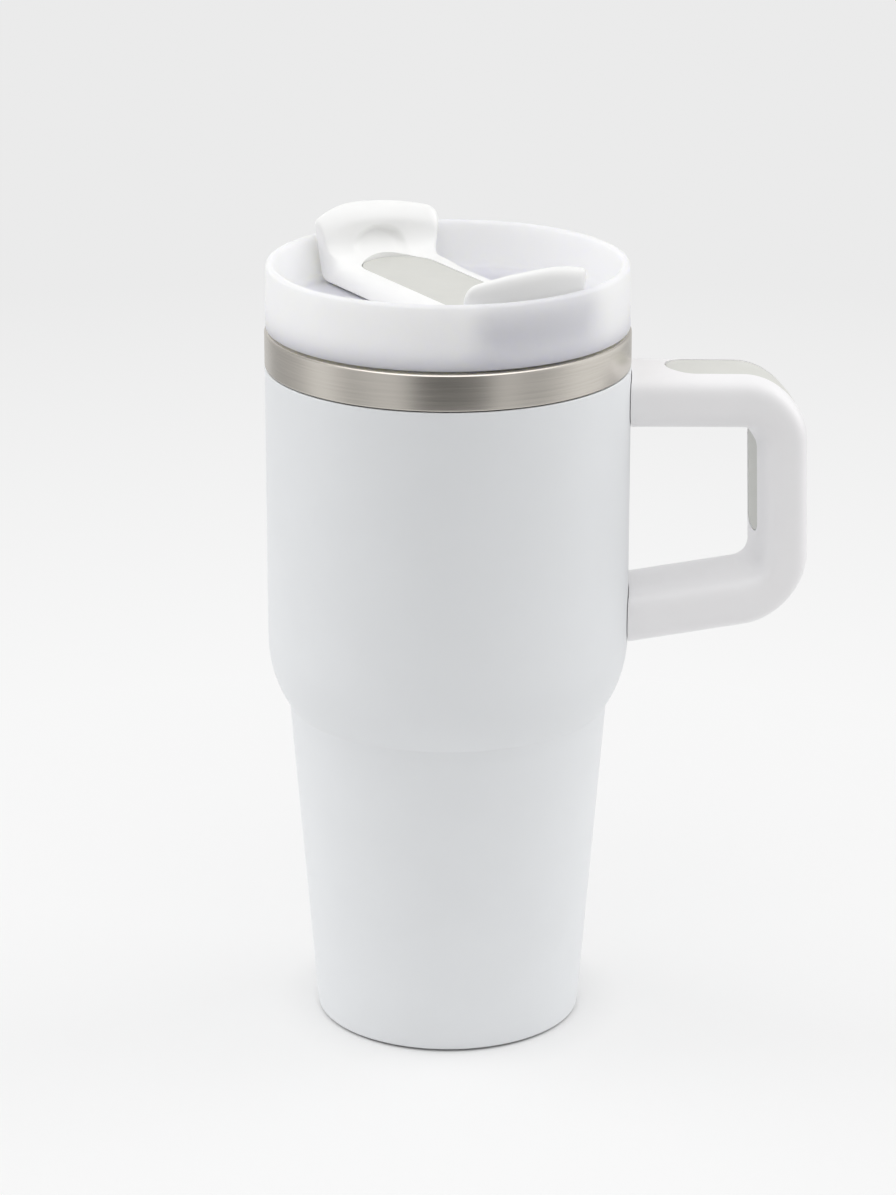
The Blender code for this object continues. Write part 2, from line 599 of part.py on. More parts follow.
def make_pivot(bar, cover_axis):
    """The stem through the lid's floor, its seal, and the screw and washer that hold it."""
    stem_end = -FLOOR_THICKNESS
    stem = [(0, stem_end), (STEM_RADIUS, stem_end), (STEM_RADIUS, 2 * SEAT_GAP), (0, 2 * SEAT_GAP)]
    combine(bar, turned("stem_guide", stem, SMALL_SEGMENTS, parent=cover_axis), "UNION")
    bore_radius = PIVOT_SCREW_RADIUS + SEAT_GAP
    bore_low = 2 * stem_end
    bore_top = INLAY_LOW - SEAT_GAP - PIVOT_SCREW_COVER
    bore = [(0, bore_low), (bore_radius, bore_low), (bore_radius, bore_top), (0, bore_top)]
    combine(bar, turned("stem_bore_cutter", bore, SMALL_SEGMENTS, parent=cover_axis))

    seal_inside = STEM_RADIUS + SEAT_GAP
    seal_outside = seal_inside + PIVOT_SEAL_WIDTH
    seal = [(seal_inside, -PIVOT_SEAL_THICKNESS), (seal_outside, -PIVOT_SEAL_THICKNESS),
            (seal_outside, 0), (seal_inside, 0)]
    turned("pivot_seal", seal, SMALL_SEGMENTS, parent=cover_axis,
           material=finish("pivot_silicone", "DFE1E0", 0.6))

    washer_top = stem_end - SEAT_GAP
    washer_low = washer_top - PIVOT_WASHER_THICKNESS
    washer = [(bore_radius, washer_low), (PIVOT_WASHER_RADIUS, washer_low),
              (PIVOT_WASHER_RADIUS, washer_top), (bore_radius, washer_top)]
    turned("pivot_washer", washer, SMALL_SEGMENTS, parent=cover_axis,
           material=finish("white_acetal", "ECECEA", 0.4))

    head_top = washer_low - SEAT_GAP
    head_low = head_top - PIVOT_HEAD_HEIGHT
    screw = [(0, head_low, 0), (PIVOT_HEAD_RADIUS, head_low, PIVOT_HEAD_HEIGHT / 2),
             (PIVOT_HEAD_RADIUS, head_top, 0),
             (PIVOT_SCREW_RADIUS, head_top, 0), (PIVOT_SCREW_RADIUS, bore_top - SEAT_GAP, 0),
             (0, bore_top - SEAT_GAP, 0)]
    turned("pivot_screw", rounded(screw), SMALL_SEGMENTS, parent=cover_axis,
           material=finish("screw_steel", "A9A9A8", 0.35, 1.0))


# Handle

def handle_stations():
    """Places along the handle's middle line: distance, point, outward normal and half thickness."""
    upper_slope = -UPPER_ARM_FALL / UPPER_REACH
    lower_slope = LOWER_ARM_RISE / LOWER_REACH
    root = HANDLE_WIDTH / 2
    half_arm = ARM_THICKNESS / 2
    middle_line = rounded([
        (BODY_RADIUS - root, UPPER_ARM_HEIGHT - upper_slope * root, 0),
        (BODY_RADIUS + UPPER_REACH, UPPER_ARM_HEIGHT - UPPER_ARM_FALL, UPPER_INNER_BEND + half_arm),
        (BODY_RADIUS + LOWER_REACH, LOWER_ARM_HEIGHT + LOWER_ARM_RISE, LOWER_INNER_BEND + half_arm),
        (BODY_RADIUS - root, LOWER_ARM_HEIGHT - lower_slope * root, 0),
    ], steps=BEND_STEPS)
    stations = []
    distance = -root
    last = len(middle_line) - 1
    for index, point in enumerate(middle_line):
        before = middle_line[max(index - 1, 0)]
        along = (middle_line[min(index + 1, last)] - before).normalized()
        distance += (point - before).length
        half = (ARM_THICKNESS + (GRIP_THICKNESS - ARM_THICKNESS) * along.y ** 2) / 2
        stations.append((distance, point, Vector((-along.y, along.x)), half))
    return stations


def station_at(stations, distance):
    """The station at a distance, between its two neighbours."""
    for first, second in zip(stations, stations[1:]):
        if distance <= second[0]:
            break
    share = (distance - first[0]) / (second[0] - first[0])
    mixed = [first[place] + (second[place] - first[place]) * share for place in (1, 2, 3)]
    return (distance, *mixed)


def crown(half, across):
    """How far the handle's skin stands off its middle line at a distance across."""
    return half * (1 - abs(2 * across / HANDLE_WIDTH) ** SECTION_POWER) ** (1 / SECTION_POWER)


def grip_strip(name, stations, side, span, half_width, under, over, **placing):
    """A round-ended strip on the handle's skin, from under to over the skin."""
    start, stop = span
    rounding = [half_width * (1 - math.cos(math.pi / 2 * step / GRIP_END_STEPS))
                for step in range(1, GRIP_END_STEPS + 1)]
    places = [start + inward for inward in rounding]
    between = [(first[0] + second[0]) / 2 for first, second in zip(stations, stations[1:])]
    places += [place for place in between if start + half_width < place < stop - half_width]
    places += [stop - inward for inward in rounding[::-1]]
    rings = []
    for distance in places:
        _, point, outward, half = station_at(stations, distance)
        short = half_width - min(half_width, distance - start, stop - distance)
        reach = math.sqrt(half_width ** 2 - short ** 2)
        spots = [reach * (2 * spot / (ROW_SPOTS - 1) - 1) for spot in range(ROW_SPOTS)]
        ring = []
        for height, row in ((over, spots), (-under, spots[::-1])):
            for across in row:
                place = point + outward * side * (crown(half, across) + height)
                ring.append((place.x, across, place.y))
        rings.append(ring)
    last = 2 * ROW_SPOTS - 1
    closing = [(spot, spot + 1, last - spot - 1, last - spot) for spot in range(ROW_SPOTS - 1)]
    return ringed(name, rings, closing, **placing)


def make_handle():
    stations = handle_stations()
    rings = []
    for _, point, outward, half in stations:
        ring = []
        for spot in range(SECTION_POINTS):
            angle = math.tau * spot / SECTION_POINTS
            across, height = [math.copysign(abs(value) ** (2 / SECTION_POWER), value)
                              for value in (math.cos(angle), math.sin(angle))]
            place = point + outward * height * half
            ring.append((place.x, across * HANDLE_WIDTH / 2, place.y))
        rings.append(ring)
    handle = ringed("handle_body", rings, [tuple(range(SECTION_POINTS))],
                    material=finish("satin_white_plastic", "EDEDEC", 0.42))
    wall_radius = BODY_RADIUS + SEAT_GAP
    wall_low = NECK_HEIGHT
    wall = [(0, wall_low), (wall_radius, wall_low), (wall_radius, CUP_HEIGHT), (0, CUP_HEIGHT)]
    shell_cutter = turned("shell_cutter", wall)
    combine(handle, shell_cutter)

    grip_top = stations[BEND_STEPS + 1][0]
    grip_foot = stations[BEND_STEPS + 2][0]
    outer_span = (OUTER_GRIP_START, grip_foot - OUTER_GRIP_MARGIN)
    inner_span = (grip_top + INNER_GRIP_TOP_MARGIN, grip_foot - INNER_GRIP_LOW_MARGIN)
    for name, side, span, border in (("outer_grip", 1, outer_span, OUTER_GRIP_BORDER),
                                     ("inner_grip", -1, inner_span, INNER_GRIP_BORDER)):
        half_width = HANDLE_WIDTH / 2 - border
        room = (span[0] - SEAT_GAP, span[1] + SEAT_GAP)
        cutter = grip_strip(name + "_cutter", stations, side, room, half_width + SEAT_GAP,
                            GRIP_INLAY_THICKNESS + SEAT_GAP, GRIP_INLAY_THICKNESS)
        combine(handle, cutter)
        grip_strip(name, stations, side, span, half_width, GRIP_INLAY_THICKNESS, 0,
                   material=finish(name + "_rubber", "D2D2CE", 0.65))

    upper_tilt = math.atan2(UPPER_ARM_FALL, UPPER_REACH)
    lower_tilt = -math.atan2(LOWER_ARM_RISE, LOWER_REACH)
    arms = (("upper", UPPER_ARM_HEIGHT, upper_tilt), ("lower", LOWER_ARM_HEIGHT, lower_tilt))
    for place, height, tilt in arms:
        frame = add_empty(place + "_mount", (BODY_RADIUS, 0, height), (0, tilt, 0))
        make_mount(place, frame, handle, shell_cutter)


def tongue_body(name, frame, grow, **placing):
    """The welded pad and the tongue that runs into the arm, grown all round."""
    pad_side = HANDLE_WIDTH / 2 - WELD_PAD_BORDER + grow
    pad_top = ARM_THICKNESS / 2 - WELD_PAD_BORDER + grow
    pad = block(name, (-TONGUE_LENGTH, -pad_side, -pad_top), (WELD_PAD_DEPTH + grow, pad_side, pad_top),
                parent=frame, **placing)
    side = HANDLE_WIDTH / 2 - TONGUE_BORDER + grow
    top = TONGUE_TOP + grow
    tongue = block(name + "_tongue", (-WELD_PAD_DEPTH, -side, -top), (TONGUE_LENGTH + grow, side, top),
                   parent=frame)
    combine(pad, tongue, "UNION")
    return pad


def make_mount(place, frame, handle, shell_cutter):
    """A bracket on the shell, the screw that holds the arm to it from below, and the plug over the screw."""
    bracket = tongue_body(place + "_bracket", frame, 0,
                          material=finish(place + "_bracket_steel", "AFAFAE", 0.4, 1.0))
    combine(bracket, shell_cutter)
    combine(handle, tongue_body(place + "_pocket_cutter", frame, SEAT_GAP))

    tip = TONGUE_TOP - SCREW_COVER
    screw_place = (TONGUE_LENGTH - SCREW_EDGE, 0, 0)
    screw = turned(place + "_screw", [
        (0, SCREW_HEAD_LOW), (SCREW_HEAD_RADIUS, SCREW_HEAD_LOW), (SCREW_HEAD_RADIUS, SCREW_HEAD_TOP),
        (SCREW_RADIUS, SCREW_HEAD_TOP), (SCREW_RADIUS, tip), (0, tip),
    ], SMALL_SEGMENTS, parent=frame, location=screw_place,
        material=finish(place + "_screw_steel", "A9A9A8", 0.35, 1.0))
    socket_low = SCREW_HEAD_LOW - SCREW_SOCKET_DEPTH
    socket_top = SCREW_HEAD_LOW + SCREW_SOCKET_DEPTH
    socket = [(0, socket_low), (SCREW_SOCKET_RADIUS, socket_low),
              (SCREW_SOCKET_RADIUS, socket_top), (0, socket_top)]
    combine(screw, turned(place + "_socket_cutter", socket, SOCKET_SIDES, parent=frame, location=screw_place))

    hole_radius = SCREW_RADIUS + SEAT_GAP
    sink_radius = SCREW_HEAD_RADIUS + SEAT_GAP
    hole = [(0, -ARM_THICKNESS), (sink_radius, -ARM_THICKNESS), (sink_radius, SCREW_SINK_TOP),
            (hole_radius, SCREW_SINK_TOP), (hole_radius, tip + SEAT_GAP), (0, tip + SEAT_GAP)]
    hole_cutter = turned(place + "_hole_cutter", hole, SMALL_SEGMENTS, parent=frame, location=screw_place)
    combine(bracket, hole_cutter)
    combine(handle, hole_cutter)
    plug_top = PLUG_LOW + PLUG_THICKNESS
    plug = [(0, PLUG_LOW), (SCREW_HEAD_RADIUS, PLUG_LOW), (SCREW_HEAD_RADIUS, plug_top), (0, plug_top)]
    turned(place + "_plug", plug, SMALL_SEGMENTS, parent=frame, location=screw_place,
           material=finish(place + "_plug_rubber", "D2D2CE", 0.65))


def main():
    for thing in list(bpy.data.objects):
        bpy.data.objects.remove(thing)
    lid_axis = add_empty("lid_axis", (0, 0, LID_SEAT))
    cover_axis = add_empty("cover_axis", (0, 0, FLOOR_TOP), (0, 0, COVER_ANGLE), lid_axis)
    make_outer_shell()
    make_inner_liner(lid_axis)
    make_foot()
    make_lid(lid_axis, cover_axis)
    make_cover(cover_axis)
    make_handle()


main()
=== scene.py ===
"""Looks of a handled vacuum tumbler, laid out as an add-on and run as a script.

Metres, +Z up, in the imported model's frame: the origin is on the rest plane, on the cup's axis, and the
handle points along +X. Turned pieces are drawn as outlines; a corner is (radius, height, rounding).
"""

import math

import bmesh
import bpy
from bpy.props import FloatProperty, FloatVectorProperty, PointerProperty
from bpy.types import NodeSocket, Operator, Panel, PropertyGroup
from mathutils import Matrix, Vector


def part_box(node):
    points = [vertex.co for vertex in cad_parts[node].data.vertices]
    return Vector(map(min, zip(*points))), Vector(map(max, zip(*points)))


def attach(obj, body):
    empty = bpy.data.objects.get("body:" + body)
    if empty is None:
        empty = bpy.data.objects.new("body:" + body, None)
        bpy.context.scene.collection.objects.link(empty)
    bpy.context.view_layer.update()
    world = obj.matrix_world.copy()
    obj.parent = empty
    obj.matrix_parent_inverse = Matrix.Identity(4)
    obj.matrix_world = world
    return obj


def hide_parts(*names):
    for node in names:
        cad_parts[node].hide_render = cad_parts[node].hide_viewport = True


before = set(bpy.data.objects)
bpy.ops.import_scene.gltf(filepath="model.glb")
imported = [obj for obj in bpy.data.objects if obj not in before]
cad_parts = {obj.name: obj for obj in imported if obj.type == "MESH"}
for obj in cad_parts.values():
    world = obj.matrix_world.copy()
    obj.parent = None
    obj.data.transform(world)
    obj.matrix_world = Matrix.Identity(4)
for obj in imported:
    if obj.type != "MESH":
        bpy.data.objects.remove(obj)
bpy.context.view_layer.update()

bl_info = {
    "name": "Handled Tumbler",
    "version": (1, 0, 0),
    "blender": (4, 5, 0),
    "location": "3D View > Sidebar > Tumbler",
    "description": "Dresses the packed frame of a handled vacuum tumbler",
    "category": "Add Mesh",
}

MM = 0.001

# Fits and fineness
SEAT_GAP = 0.3 * MM
SEGMENTS = 192
SMALL_SEGMENTS = 64
ARC_STEPS = 10
LONGEST_RUN = 3.0 * MM
WELD_DISTANCE = 0.002 * MM
SHARP_ANGLE = math.radians(38)
TURNING_RADIUS = 10.0 * MM

# Places that the frame gives
SHELL_LOW, SHELL_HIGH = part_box("outer_shell")
LINER_LOW, LINER_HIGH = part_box("inner_liner")
CAP_LOW, CAP_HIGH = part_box("base_cap")
LID_LOW, LID_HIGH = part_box("lid_body")
RING_LOW, RING_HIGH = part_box("lid_gasket")
PAD_LOW, PAD_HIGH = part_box("cover_inlay")
HANDLE_LOW, HANDLE_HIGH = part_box("handle_body")
LID_SEAT = RING_HIGH.z + SEAT_GAP
BAND_LOW = SHELL_HIGH.z + SEAT_GAP

# Camera that took the photograph, and the stage
CAMERA_PLACE = (-0.1180, -0.9611, 0.4329)
CAMERA_PITCH = -18.55
CAMERA_YAW = -7.0
SENSOR_HEIGHT = 36.0
FOCAL_LENGTH = 124.37


def linear(hex_colour):
    """An sRGB hex colour as linear values."""
    channels = [int(hex_colour[place:place + 2], 16) / 255 for place in (0, 2, 4)]
    return tuple(value / 12.92 if value <= 0.04045 else ((value + 0.055) / 1.055) ** 2.4 for value in channels)


def length(name, description, size):
    """A size in metres that a user can change."""
    return FloatProperty(name=name, description=description, default=size, min=0.0, unit="LENGTH", precision=4)


def colour(name, description, hex_colour):
    """A colour that a user can change."""
    return FloatVectorProperty(name=name, description=description, default=linear(hex_colour),
                               min=0.0, max=1.0, subtype="COLOR")


# Sizes and colours that a user would change

class CupSizes(PropertyGroup):
    """Walls, mouth band and foot."""

    body_radius: length("Body radius", "Outer radius of the wide upper wall", SHELL_HIGH.x)
    base_radius: length("Base radius", "Outer radius at the foot", 32.9 * MM)
    neck_radius: length("Neck radius", "Outer radius where the shoulder starts", 39.4 * MM)
    neck_height: length("Neck height", "Height where the shoulder starts", 81.9 * MM)
    neck_fillet: length("Neck fillet", "Rounding below the shoulder", 1.0 * MM)
    shoulder_rise: length("Shoulder rise", "Height of the sloping shoulder", 8.9 * MM)
    shoulder_fillet: length("Shoulder fillet", "Rounding above the shoulder", 30.0 * MM)
    foot_rounding: length("Foot rounding", "Rounding of the shell's lower edge", 0.7 * MM)
    shell_wall: length("Shell wall", "Thickness of the outer wall", 0.8 * MM)
    liner_wall: length("Liner wall", "Thickness of the inner wall", 0.8 * MM)
    vacuum_gap: length("Vacuum gap", "Space between the two walls", 2.6 * MM)
    liner_corner: length("Liner corner", "Rounding of the liner's bottom", 7.0 * MM)
    band_wall: length("Band wall", "Thickness of the bare band", 1.0 * MM)
    lip_width: length("Lip width", "Width of the rolled mouth", 3.3 * MM)
    lip_thickness: length("Lip thickness", "Thickness of the rolled mouth", 1.2 * MM)
    lip_rounding: length("Lip rounding", "Rounding of the rolled mouth", 1.0 * MM)
    cap_wall: length("Cap wall", "Thickness of the foot cap", 1.0 * MM)
    cap_rounding: length("Cap rounding", "Rounding of the foot cap", 0.6 * MM)


class LidSizes(PropertyGroup):
    """Collar, floor, skirt and thread."""

    foot_inset: length("Collar inset", "How far the collar stands inside the body", 0.3 * MM)
    taper: length("Collar taper", "How far the collar narrows to its rim", 0.3 * MM)
    wall: length("Collar wall", "Thickness of the collar", 2.0 * MM)
    rounding: length("Rim rounding", "Rounding of the collar's rim", 1.0 * MM)
    recess_depth: length("Recess depth", "Depth from the rim to the floor", 11.7 * MM)
    recess_fillet: length("Recess fillet", "Rounding round the floor", 2.0 * MM)
    floor_thickness: length("Floor thickness", "Thickness of the floor", 2.0 * MM)
    skirt_wall: length("Skirt wall", "Thickness of the skirt", 2.5 * MM)
    skirt_lead_in: length("Skirt lead-in", "Bevel of the skirt's end", 0.6 * MM)
    thread_lead: length("Thread lead", "Rise of the lid in one turn", 6.0 * MM)
    thread_depth: length("Thread depth", "Height of the liner's thread", 1.0 * MM)
    thread_root: length("Thread root", "Width of a thread at its wall", 2.0 * MM)
    thread_crest: length("Thread crest", "Width of a thread at its crest", 1.0 * MM)
    sip_length: length("Sip length", "Length of the sip slot", 15.0 * MM)
    sip_width: length("Sip width", "Width of the sip slot", 8.0 * MM)
    straw_radius: length("Straw hole radius", "Radius of the straw hole", 4.5 * MM)


class CoverSizes(PropertyGroup):
    """Rotating cover: X runs along its bar to the rear tab, and heights are above the lid's floor."""

    turn: FloatProperty(name="Turn", description="Angle of the bar at rest", default=math.radians(112.5),
                        subtype="ANGLE")
    bar_width: length("Bar width", "Width of the bar at its foot", 28.8 * MM)
    bar_top: length("Bar top", "Height of the bar", 5.4 * MM)
    bar_side: length("Bar side", "Width of the bar's rounded sides", 3.8 * MM)
    tab_width: length("Tab width", "Width of a tab at its top", 34.0 * MM)
    tab_thickness: length("Tab thickness", "Thickness of a tab at its middle", 4.5 * MM)
    sharp_edge: length("Sharp edge", "Rounding of a tab's edge below its sharp corner", 1.4 * MM)
    round_edge: length("Round edge", "Rounding of a tab's edge below its round corner", 2.2 * MM)
    tab_point: length("Tab point", "Rounding of a tab's sharp corner", 1.2 * MM)
    tab_corner: length("Tab corner", "Rounding of a tab's other corner", 4.0 * MM)
    tab_bulge: length("Tab bulge", "Bulge of a tab's outer face", 2.3 * MM)
    tab_fillet: length("Tab fillet", "Rounding between the bar and a tab", 6.0 * MM)
    front_top: length("Front tab top", "Height of the front tab", 17.3 * MM)
    front_arch: length("Front tab arch", "Fall of the front tab's top to its sharp corner", 1.9 * MM)
    front_droop: length("Front tab droop", "Fall of the front tab's top to its round corner", 2.8 * MM)
    rear_top: length("Rear tab top", "Height of the rear tab", 18.8 * MM)
    rear_arch: length("Rear tab arch", "Fall of the rear tab's top to its sharp corner", 3.2 * MM)
    rear_droop: length("Rear tab droop", "Fall of the rear tab's top to its round corner", 3.7 * MM)
    rear_reach: length("Rear tab reach", "Extra width of the rear tab at its round corner", 2.0 * MM)
    crest_inside: length("Inner crest", "Rounding of a tab's top towards the bar", 4.4 * MM)
    front_edge: length("Front outer edge", "Rounding of the front tab's edge towards the collar", 2.6 * MM)
    rear_edge: length("Rear outer edge", "Rounding of the rear tab's edge towards the collar", 1.1 * MM)
    pad_width: length("Pad width", "Width of the grey pad", 18.8 * MM)
    pad_end: length("Pad end", "White border at the pad's ends", 1.9 * MM)
    pad_edge: length("Pad edge", "Rounding of the pad's edges", 0.4 * MM)


class HandleSizes(PropertyGroup):
    """Loop handle: reaches are from the cup's wall to the grip's middle line."""

    width: length("Width", "Width of the handle", 24.0 * MM)
    arm_thickness: length("Arm thickness", "Thickness of the two arms", 14.0 * MM)
    grip_thickness: length("Grip thickness", "Thickness of the grip", 12.9 * MM)
    upper_height: length("Upper arm height", "Height of the upper arm at the wall", 159.1 * MM)
    upper_fall: length("Upper arm fall", "Fall of the upper arm to the grip", 1.5 * MM)
    upper_reach: length("Upper reach", "Reach of the upper arm", 37.0 * MM)
    upper_bend: length("Upper bend", "Inner radius of the upper bend", 3.8 * MM)
    lower_height: length("Lower arm height", "Height of the lower arm at the wall", 103.9 * MM)
    lower_rise: length("Lower arm rise", "Rise of the lower arm to the grip", 4.6 * MM)
    lower_reach: length("Lower reach", "Reach of the lower arm", 38.3 * MM)
    lower_bend: length("Lower bend", "Inner radius of the lower bend", 4.4 * MM)
    outer_border: length("Outer inlay border", "White border beside the outer inlay", 5.4 * MM)
    inner_border: length("Inner inlay border", "White border beside the inner inlay", 6.0 * MM)
    inlay_thickness: length("Inlay thickness", "Thickness of the soft inlays", 1.3 * MM)
    inlay_edge: length("Inlay edge", "Rounding of the inlays' edges", 0.5 * MM)


class FinishColours(PropertyGroup):
    """Colours of the finishes."""

    powder_coat: colour("Powder coat", "Coated wall", "EEF0F2")
    steel: colour("Steel", "Bare band and liner", "CFCAC2")
    bare_steel: colour("Bare steel", "Foot, brackets and screws", "BDBDBB")
    white_abs: colour("White ABS", "Rotating cover", "F8F8F7")
    white_polypropylene: colour("White polypropylene", "Handle", "F6F5F6")
    frosted_polypropylene: colour("Frosted polypropylene", "Lid", "F3F3F6")
    grip_rubber: colour("Grip rubber", "Soft inlays of the handle", "D8D8D3")
    pad_rubber: colour("Pad rubber", "Soft pad of the cover", "D2D2CD")
    silicone: colour("Silicone", "Seals", "E2E3E1")
    paper: colour("Paper", "Floor sweep", "F4F4F4")


# Outlines

def rounded_corner(before, corner, after, reach, steps):
    """Points that round one corner, from a reach before it to a reach after it."""
    back = (before - corner).normalized()
    ahead = (after - corner).normalized()
    half_angle = back.angle(ahead) / 2
    middle = corner + (back + ahead).normalized() * (reach / math.cos(half_angle))
    start = corner + back * reach - middle
    stop = corner + ahead * reach - middle
    turn = math.atan2(start.x * stop.y - start.y * stop.x, start.dot(stop))
    points = []
    for step in range(steps + 1):
        angle = turn * step / steps
        points.append(middle + Vector((start.x * math.cos(angle) - start.y * math.sin(angle),
                                       start.x * math.sin(angle) + start.y * math.cos(angle))))
    return points


def rounded(corners, closed=False, steps=ARC_STEPS, longest=LONGEST_RUN):
    """An outline through corners of (x, y, rounding), with long runs cut into shorter ones.

    Two corners whose roundings don't fit on the run between them share it by what they ask for.
    """
    spots = [Vector(corner[:2]) for corner in corners]
    afters = spots[1:] + spots[:1]
    asked = []
    for index, (spot, after, corner) in enumerate(zip(spots, afters, corners)):
        inside = closed or 0 < index < len(corners) - 1
        half_angle = (spots[index - 1] - spot).angle(after - spot) / 2
        asked.append(corner[2] / math.tan(half_angle) if inside else 0)
    points = []
    for index, (spot, after) in enumerate(zip(spots, afters)):
        before = spots[index - 1]
        if asked[index] > 0:
            room_before = (before - spot).length / (asked[index - 1] + asked[index])
            room_after = (after - spot).length / (asked[index] + asked[(index + 1) % len(asked)])
            reach = asked[index] * min(1, room_before, room_after)
            points += rounded_corner(before, spot, after, reach, steps)
        else:
            points.append(spot)
    ends = points[1:] + points[:1] if closed else points[1:]
    outline = []
    for first, second in zip(points, ends):
        parts = max(1, math.ceil((second - first).length / longest))
        outline += [first.lerp(second, part / parts) for part in range(parts)]
    return outline if closed else outline + points[-1:]


def inset(corners, distance):
    """Corners of a wall's path, moved towards the axis by a distance across the wall."""
    spots = [Vector(corner[:2]) for corner in corners]
    runs = [(after - before).normalized() for before, after in zip(spots, spots[1:])]
    moved = []
    for index, (spot, corner) in enumerate(zip(spots, corners)):
        first = runs[max(index - 1, 0)]
        second = runs[min(index, len(runs) - 1)]
        first_side = Vector((-first.y, first.x))
        second_side = Vector((-second.y, second.x))
        shift = (first_side + second_side) * (distance / (1 + first_side.dot(second_side)))
        towards_axis = first.x * second.y - first.y * second.x > 0
        rounding = corner[2] + (-distance if towards_axis else distance)
        moved.append((spot.x + shift.x, spot.y + shift.y, max(rounding, distance) if corner[2] else 0))
    return moved


def stadium(long_side, short_side, steps=SMALL_SEGMENTS // 2):
    """A slot's outline, long along X."""
    radius = short_side / 2
    middle = (long_side - short_side) / 2
    points = []
    for side in (1, -1):
        for step in range(steps + 1):
            angle = math.pi * step / steps - math.pi / 2
            points.append(Vector((side * (middle + radius * math.cos(angle)), side * radius * math.sin(angle))))
    return points


# Meshes

def link(thing):
    bpy.context.scene.collection.objects.link(thing)
    return thing


def add_mesh(name, mesh, material=None):
    """An object from a bmesh, closed, facing out and smooth between its sharp edges."""
    bmesh.ops.remove_doubles(mesh, verts=mesh.verts, dist=WELD_DISTANCE)
    bmesh.ops.recalc_face_normals(mesh, faces=mesh.faces)
    data = bpy.data.meshes.new(name)
    mesh.to_mesh(data)
    mesh.free()
    if material and not data.materials:
        data.materials.append(material)
    data.shade_smooth()
    data.set_sharp_from_angle(angle=SHARP_ANGLE)
    return link(bpy.data.objects.new(name, data))


def guide(name, points, closed):
    """A line for the node trees: X is the radius or the width, Y the height."""
    data = bpy.data.meshes.new(name)
    edges = [(spot, spot + 1) for spot in range(len(points) - 1)]
    if closed:
        edges.append((len(points) - 1, 0))
    data.from_pydata([(point[0], point[1], point[2] if len(point) > 2 else 0) for point in points], edges, [])
    return link(bpy.data.objects.new(name, data))


def prism(name, outline, low, high):
    """A body with a flat outline, from a low to a high height."""
    mesh = bmesh.new()
    face = mesh.faces.new([mesh.verts.new((point[0], point[1], low)) for point in outline])
    raised = bmesh.ops.extrude_face_region(mesh, geom=[face])["geom"]
    corners = [item for item in raised if isinstance(item, bmesh.types.BMVert)]
    bmesh.ops.translate(mesh, vec=(0, 0, high - low), verts=corners)
    return add_mesh(name, mesh)


def block(name, low, high):
    """A box between two corners."""
    outline = [(low[0], low[1]), (high[0], low[1]), (high[0], high[1]), (low[0], high[1])]
    return prism(name, outline, low[2], high[2])


def settle(thing, matrix):
    """Puts a piece's place into its mesh."""
    thing.data.transform(matrix)
    return thing


def tidy(thing):
    """Leaves a piece closed, facing out and smooth between its sharp edges."""
    mesh = bmesh.new()
    mesh.from_mesh(thing.data)
    bmesh.ops.triangulate(mesh, faces=[face for face in mesh.faces if len(face.verts) > 4])
    bmesh.ops.remove_doubles(mesh, verts=mesh.verts, dist=WELD_DISTANCE)
    bmesh.ops.dissolve_degenerate(mesh, dist=WELD_DISTANCE, edges=mesh.edges)
    bmesh.ops.recalc_face_normals(mesh, faces=mesh.faces)
    mesh.to_mesh(thing.data)
    mesh.free()
    thing.data.shade_smooth()
    thing.data.set_sharp_from_angle(angle=SHARP_ANGLE)
    return thing


def evaluated(thing):
    """The piece's mesh as its modifiers leave it, on the piece itself, with the modifiers removed."""
    depsgraph = bpy.context.evaluated_depsgraph_get()
    data = bpy.data.meshes.new_from_object(thing.evaluated_get(depsgraph))
    thing.modifiers.clear()
    thing.data = data
    return thing


def carve(piece, cutters, operation="DIFFERENCE"):
    """Cuts a piece by other bodies, or joins them to it, and removes those bodies."""
    for cutter in cutters:
        modifier = piece.modifiers.new(cutter.name, "BOOLEAN")
        modifier.operation = operation
        modifier.solver = "EXACT"
        modifier.object = cutter
    evaluated(piece)
    for cutter in cutters:
        bpy.data.objects.remove(cutter)
    return tidy(piece)


def hand_over(piece, body, slot, *nodes):
    """Lets a finished piece stand for its CAD nodes."""
    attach(piece, body)
    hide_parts(*nodes)


# Nodes

def add_node(tree, kind, inputs=None, **settings):
    """Adds a node with its settings; an input takes a value or another node's output."""
    node = tree.nodes.new(kind)
    for name, value in settings.items():
        setattr(node, name, value)
    for key, value in (inputs or {}).items():
        if isinstance(value, NodeSocket):
            tree.links.new(value, node.inputs[key])
        else:
            node.inputs[key].default_value = value
    return node


def new_tree(name, inputs):
    """An empty geometry tree with named inputs, and its input node."""
    tree = bpy.data.node_groups.new(name, "GeometryNodeTree")
    tree.interface.new_socket("Geometry", in_out="OUTPUT", socket_type="NodeSocketGeometry")
    for label, kind in inputs:
        tree.interface.new_socket(label, in_out="INPUT", socket_type=kind)
    return tree, add_node(tree, "NodeGroupInput").outputs


def end_tree(tree, geometry, material):
    """Real geometry with its material, as every tree ends."""
    real = add_node(tree, "GeometryNodeRealizeInstances", {"Geometry": geometry})
    dressed = add_node(tree, "GeometryNodeSetMaterial", {"Geometry": real.outputs[0], "Material": material})
    add_node(tree, "NodeGroupOutput", {0: dressed.outputs[0]})
    return tree


def line_nodes(tree, source):
    """A guide line as a curve."""
    line = add_node(tree, "GeometryNodeObjectInfo", {"Object": source})
    return add_node(tree, "GeometryNodeMeshToCurve", {"Mesh": line.outputs["Geometry"]}).outputs[0]


